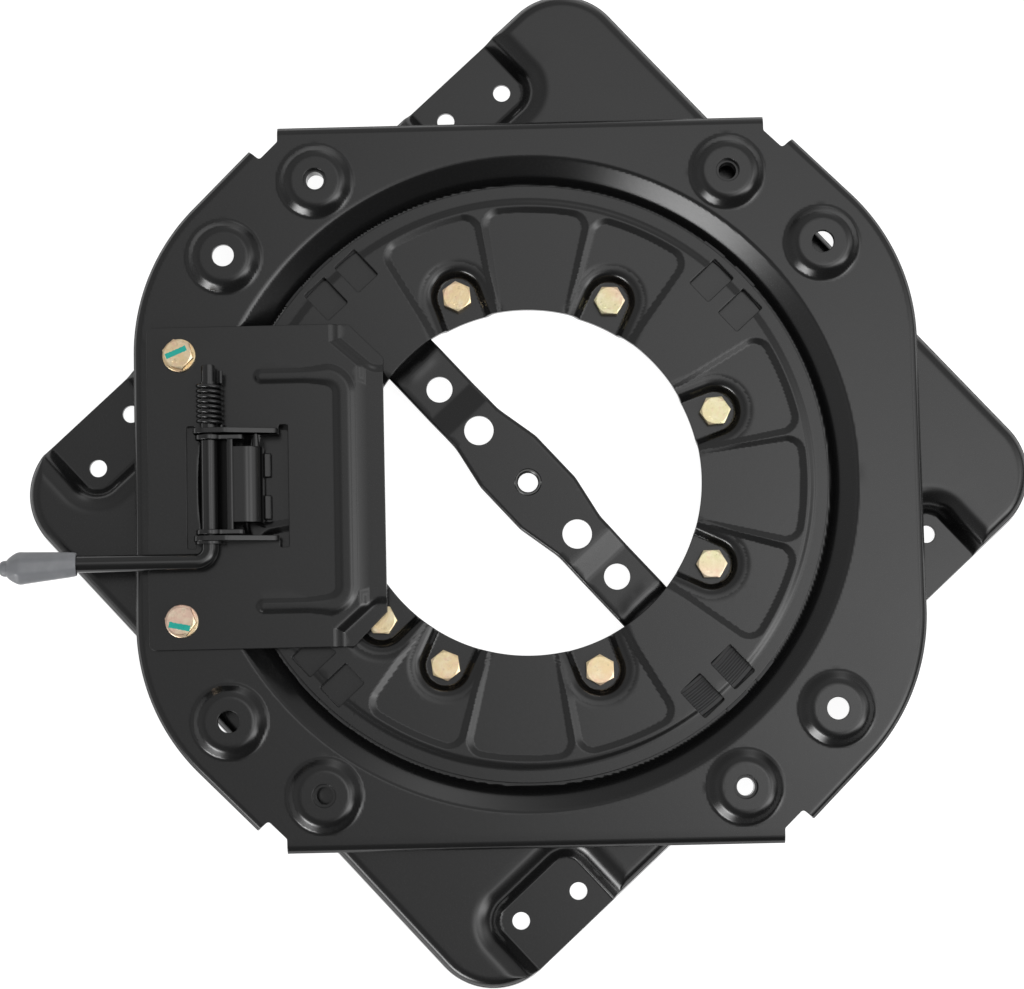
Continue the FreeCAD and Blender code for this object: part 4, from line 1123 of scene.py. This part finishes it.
# Soft patches of light: azimuth, height and half width in degrees, strength
SOFT_PATCHES = [
    (60, 35, 40, 0.75), (150, 25, 40, 0.4), (205, 35, 35, 0.4), (355, 80, 6, 2.4), (20, 76, 8, 1.1),
    (85, 77, 7, 1.0), (313, 60, 8, 1.6), (20, 80, 14, 0.3), (190, 82, 10, 0.2), (332, 68, 7, 2.2),
    (330, 56, 7, 4.5), (331, 44, 7, 5.5), (333, 32, 7, 4.5), (2, 54, 9, 3.0), (10, 30, 12, 1.5),
    (226, 13, 6, 12.0), (235, 13, 6, 14.0), (244, 13, 6, 12.0), (75, 12, 10, 1.2), (300, 65, 8, 0.5)]


def world():
    """Dim even surroundings with soft patches: wide ones all round, narrow ones above and to the
    lower right, and a low strip at the lower left. The camera sees them plain and pale."""
    scene_world = bpy.data.worlds.new("room")
    bpy.context.scene.world = scene_world
    scene_world.use_nodes = True
    scene_world.node_tree.nodes.clear()
    room = Nodes(scene_world.node_tree)
    way = room.add("ShaderNodeTexCoord", out="Generated")
    even_light = 0.12
    glow = even_light
    for azimuth, height, half_width, strength in SOFT_PATCHES:
        a, e = math.radians(azimuth), math.radians(height)
        centre = (math.cos(e) * math.cos(a), math.cos(e) * math.sin(a), math.sin(e))
        inputs = {0: way, 1: centre}
        facing = room.add("ShaderNodeVectorMath", {"operation": "DOT_PRODUCT"}, inputs, "Value")
        power = math.log(0.5) / math.log(math.cos(math.radians(half_width)))
        glow = facing.maths("MAXIMUM", 0.0) ** power * strength + glow
    seen = room.add("ShaderNodeLightPath", out="Is Camera Ray")
    strength = glow * (1.0 - seen) + seen
    light = room.add("ShaderNodeBackground", inputs={"Strength": strength})
    room.add("ShaderNodeOutputWorld", inputs={"Surface": light})


def floor():
    """Plain floor that is pale to the camera and in reflections and keeps the object's shadow."""
    mesh = bpy.data.meshes.new("floor")
    half, z = 3.0, FLOOR * MM
    corners = [(-half, -half, z), (half, -half, z), (half, half, z), (-half, half, z)]
    mesh.from_pydata(corners, [], [(0, 1, 2, 3)])
    plane = bpy.data.objects.new("floor", mesh)
    bpy.context.collection.objects.link(plane)
    paint = Paint("floor", (0.3, 0.3, 0.3), 0.8)
    kinds = ("Is Camera Ray", "Is Glossy Ray", "Is Transmission Ray")
    camera_ray, glossy_ray, clear_ray = [paint.add("ShaderNodeLightPath", out=kind) for kind in kinds]
    seen = (camera_ray + glossy_ray + clear_ray).clamp()
    paint.put("Emission Color", paint.blend(seen, (0.0, 0.0, 0.0), (1.0, 1.0, 1.0)))
    paint.put("Emission Strength", 0.93)
    mesh.materials.append(paint.material)
    plane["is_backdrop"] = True


def camera():
    """Camera matched to the photograph, over its middle and nearly straight down."""
    width = 1024.0  # of the picture, in pixels
    pixel, level = 0.4815 * MM, 22.0  # size of a pixel at this level, that of the ring
    # Middle of the picture from the swivel axis and distance of the camera, in pixels
    middle_x, middle_y, distance = -15.95, -12.75, 2600.0
    tip, lean, roll = 0.0884, 0.0094, 0.0223
    ca, sa, cb, sb, cr, sr = (f(a) for a in (tip, lean, roll) for f in (math.cos, math.sin))
    turn = (Matrix(((1, 0, 0), (0, ca, sa), (0, -sa, ca)))
            @ Matrix(((cb, 0, -sb), (0, 1, 0), (sb, 0, cb)))
            @ Matrix(((cr, -sr, 0), (sr, cr, 0), (0, 0, 1))))
    data = bpy.data.cameras.new("camera")
    data.sensor_width = 36.0
    data.lens = distance / width * data.sensor_width
    data.clip_start = 0.05
    eye = bpy.data.objects.new("camera", data)
    bpy.context.collection.objects.link(eye)
    back = turn.transposed()
    spot = back @ Vector((middle_x, middle_y, distance)) * pixel + Vector((0, 0, (level + FLOOR) * MM))
    eye.matrix_world = Matrix.Translation(spot) @ back.to_4x4()
    bpy.context.scene.camera = eye


world()
floor()
camera()
bpy.context.scene.view_settings.view_transform = "Standard"

end_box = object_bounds()
[[[round(v, 5) for v in corner] for corner in box] for box in (start_box, end_box)]
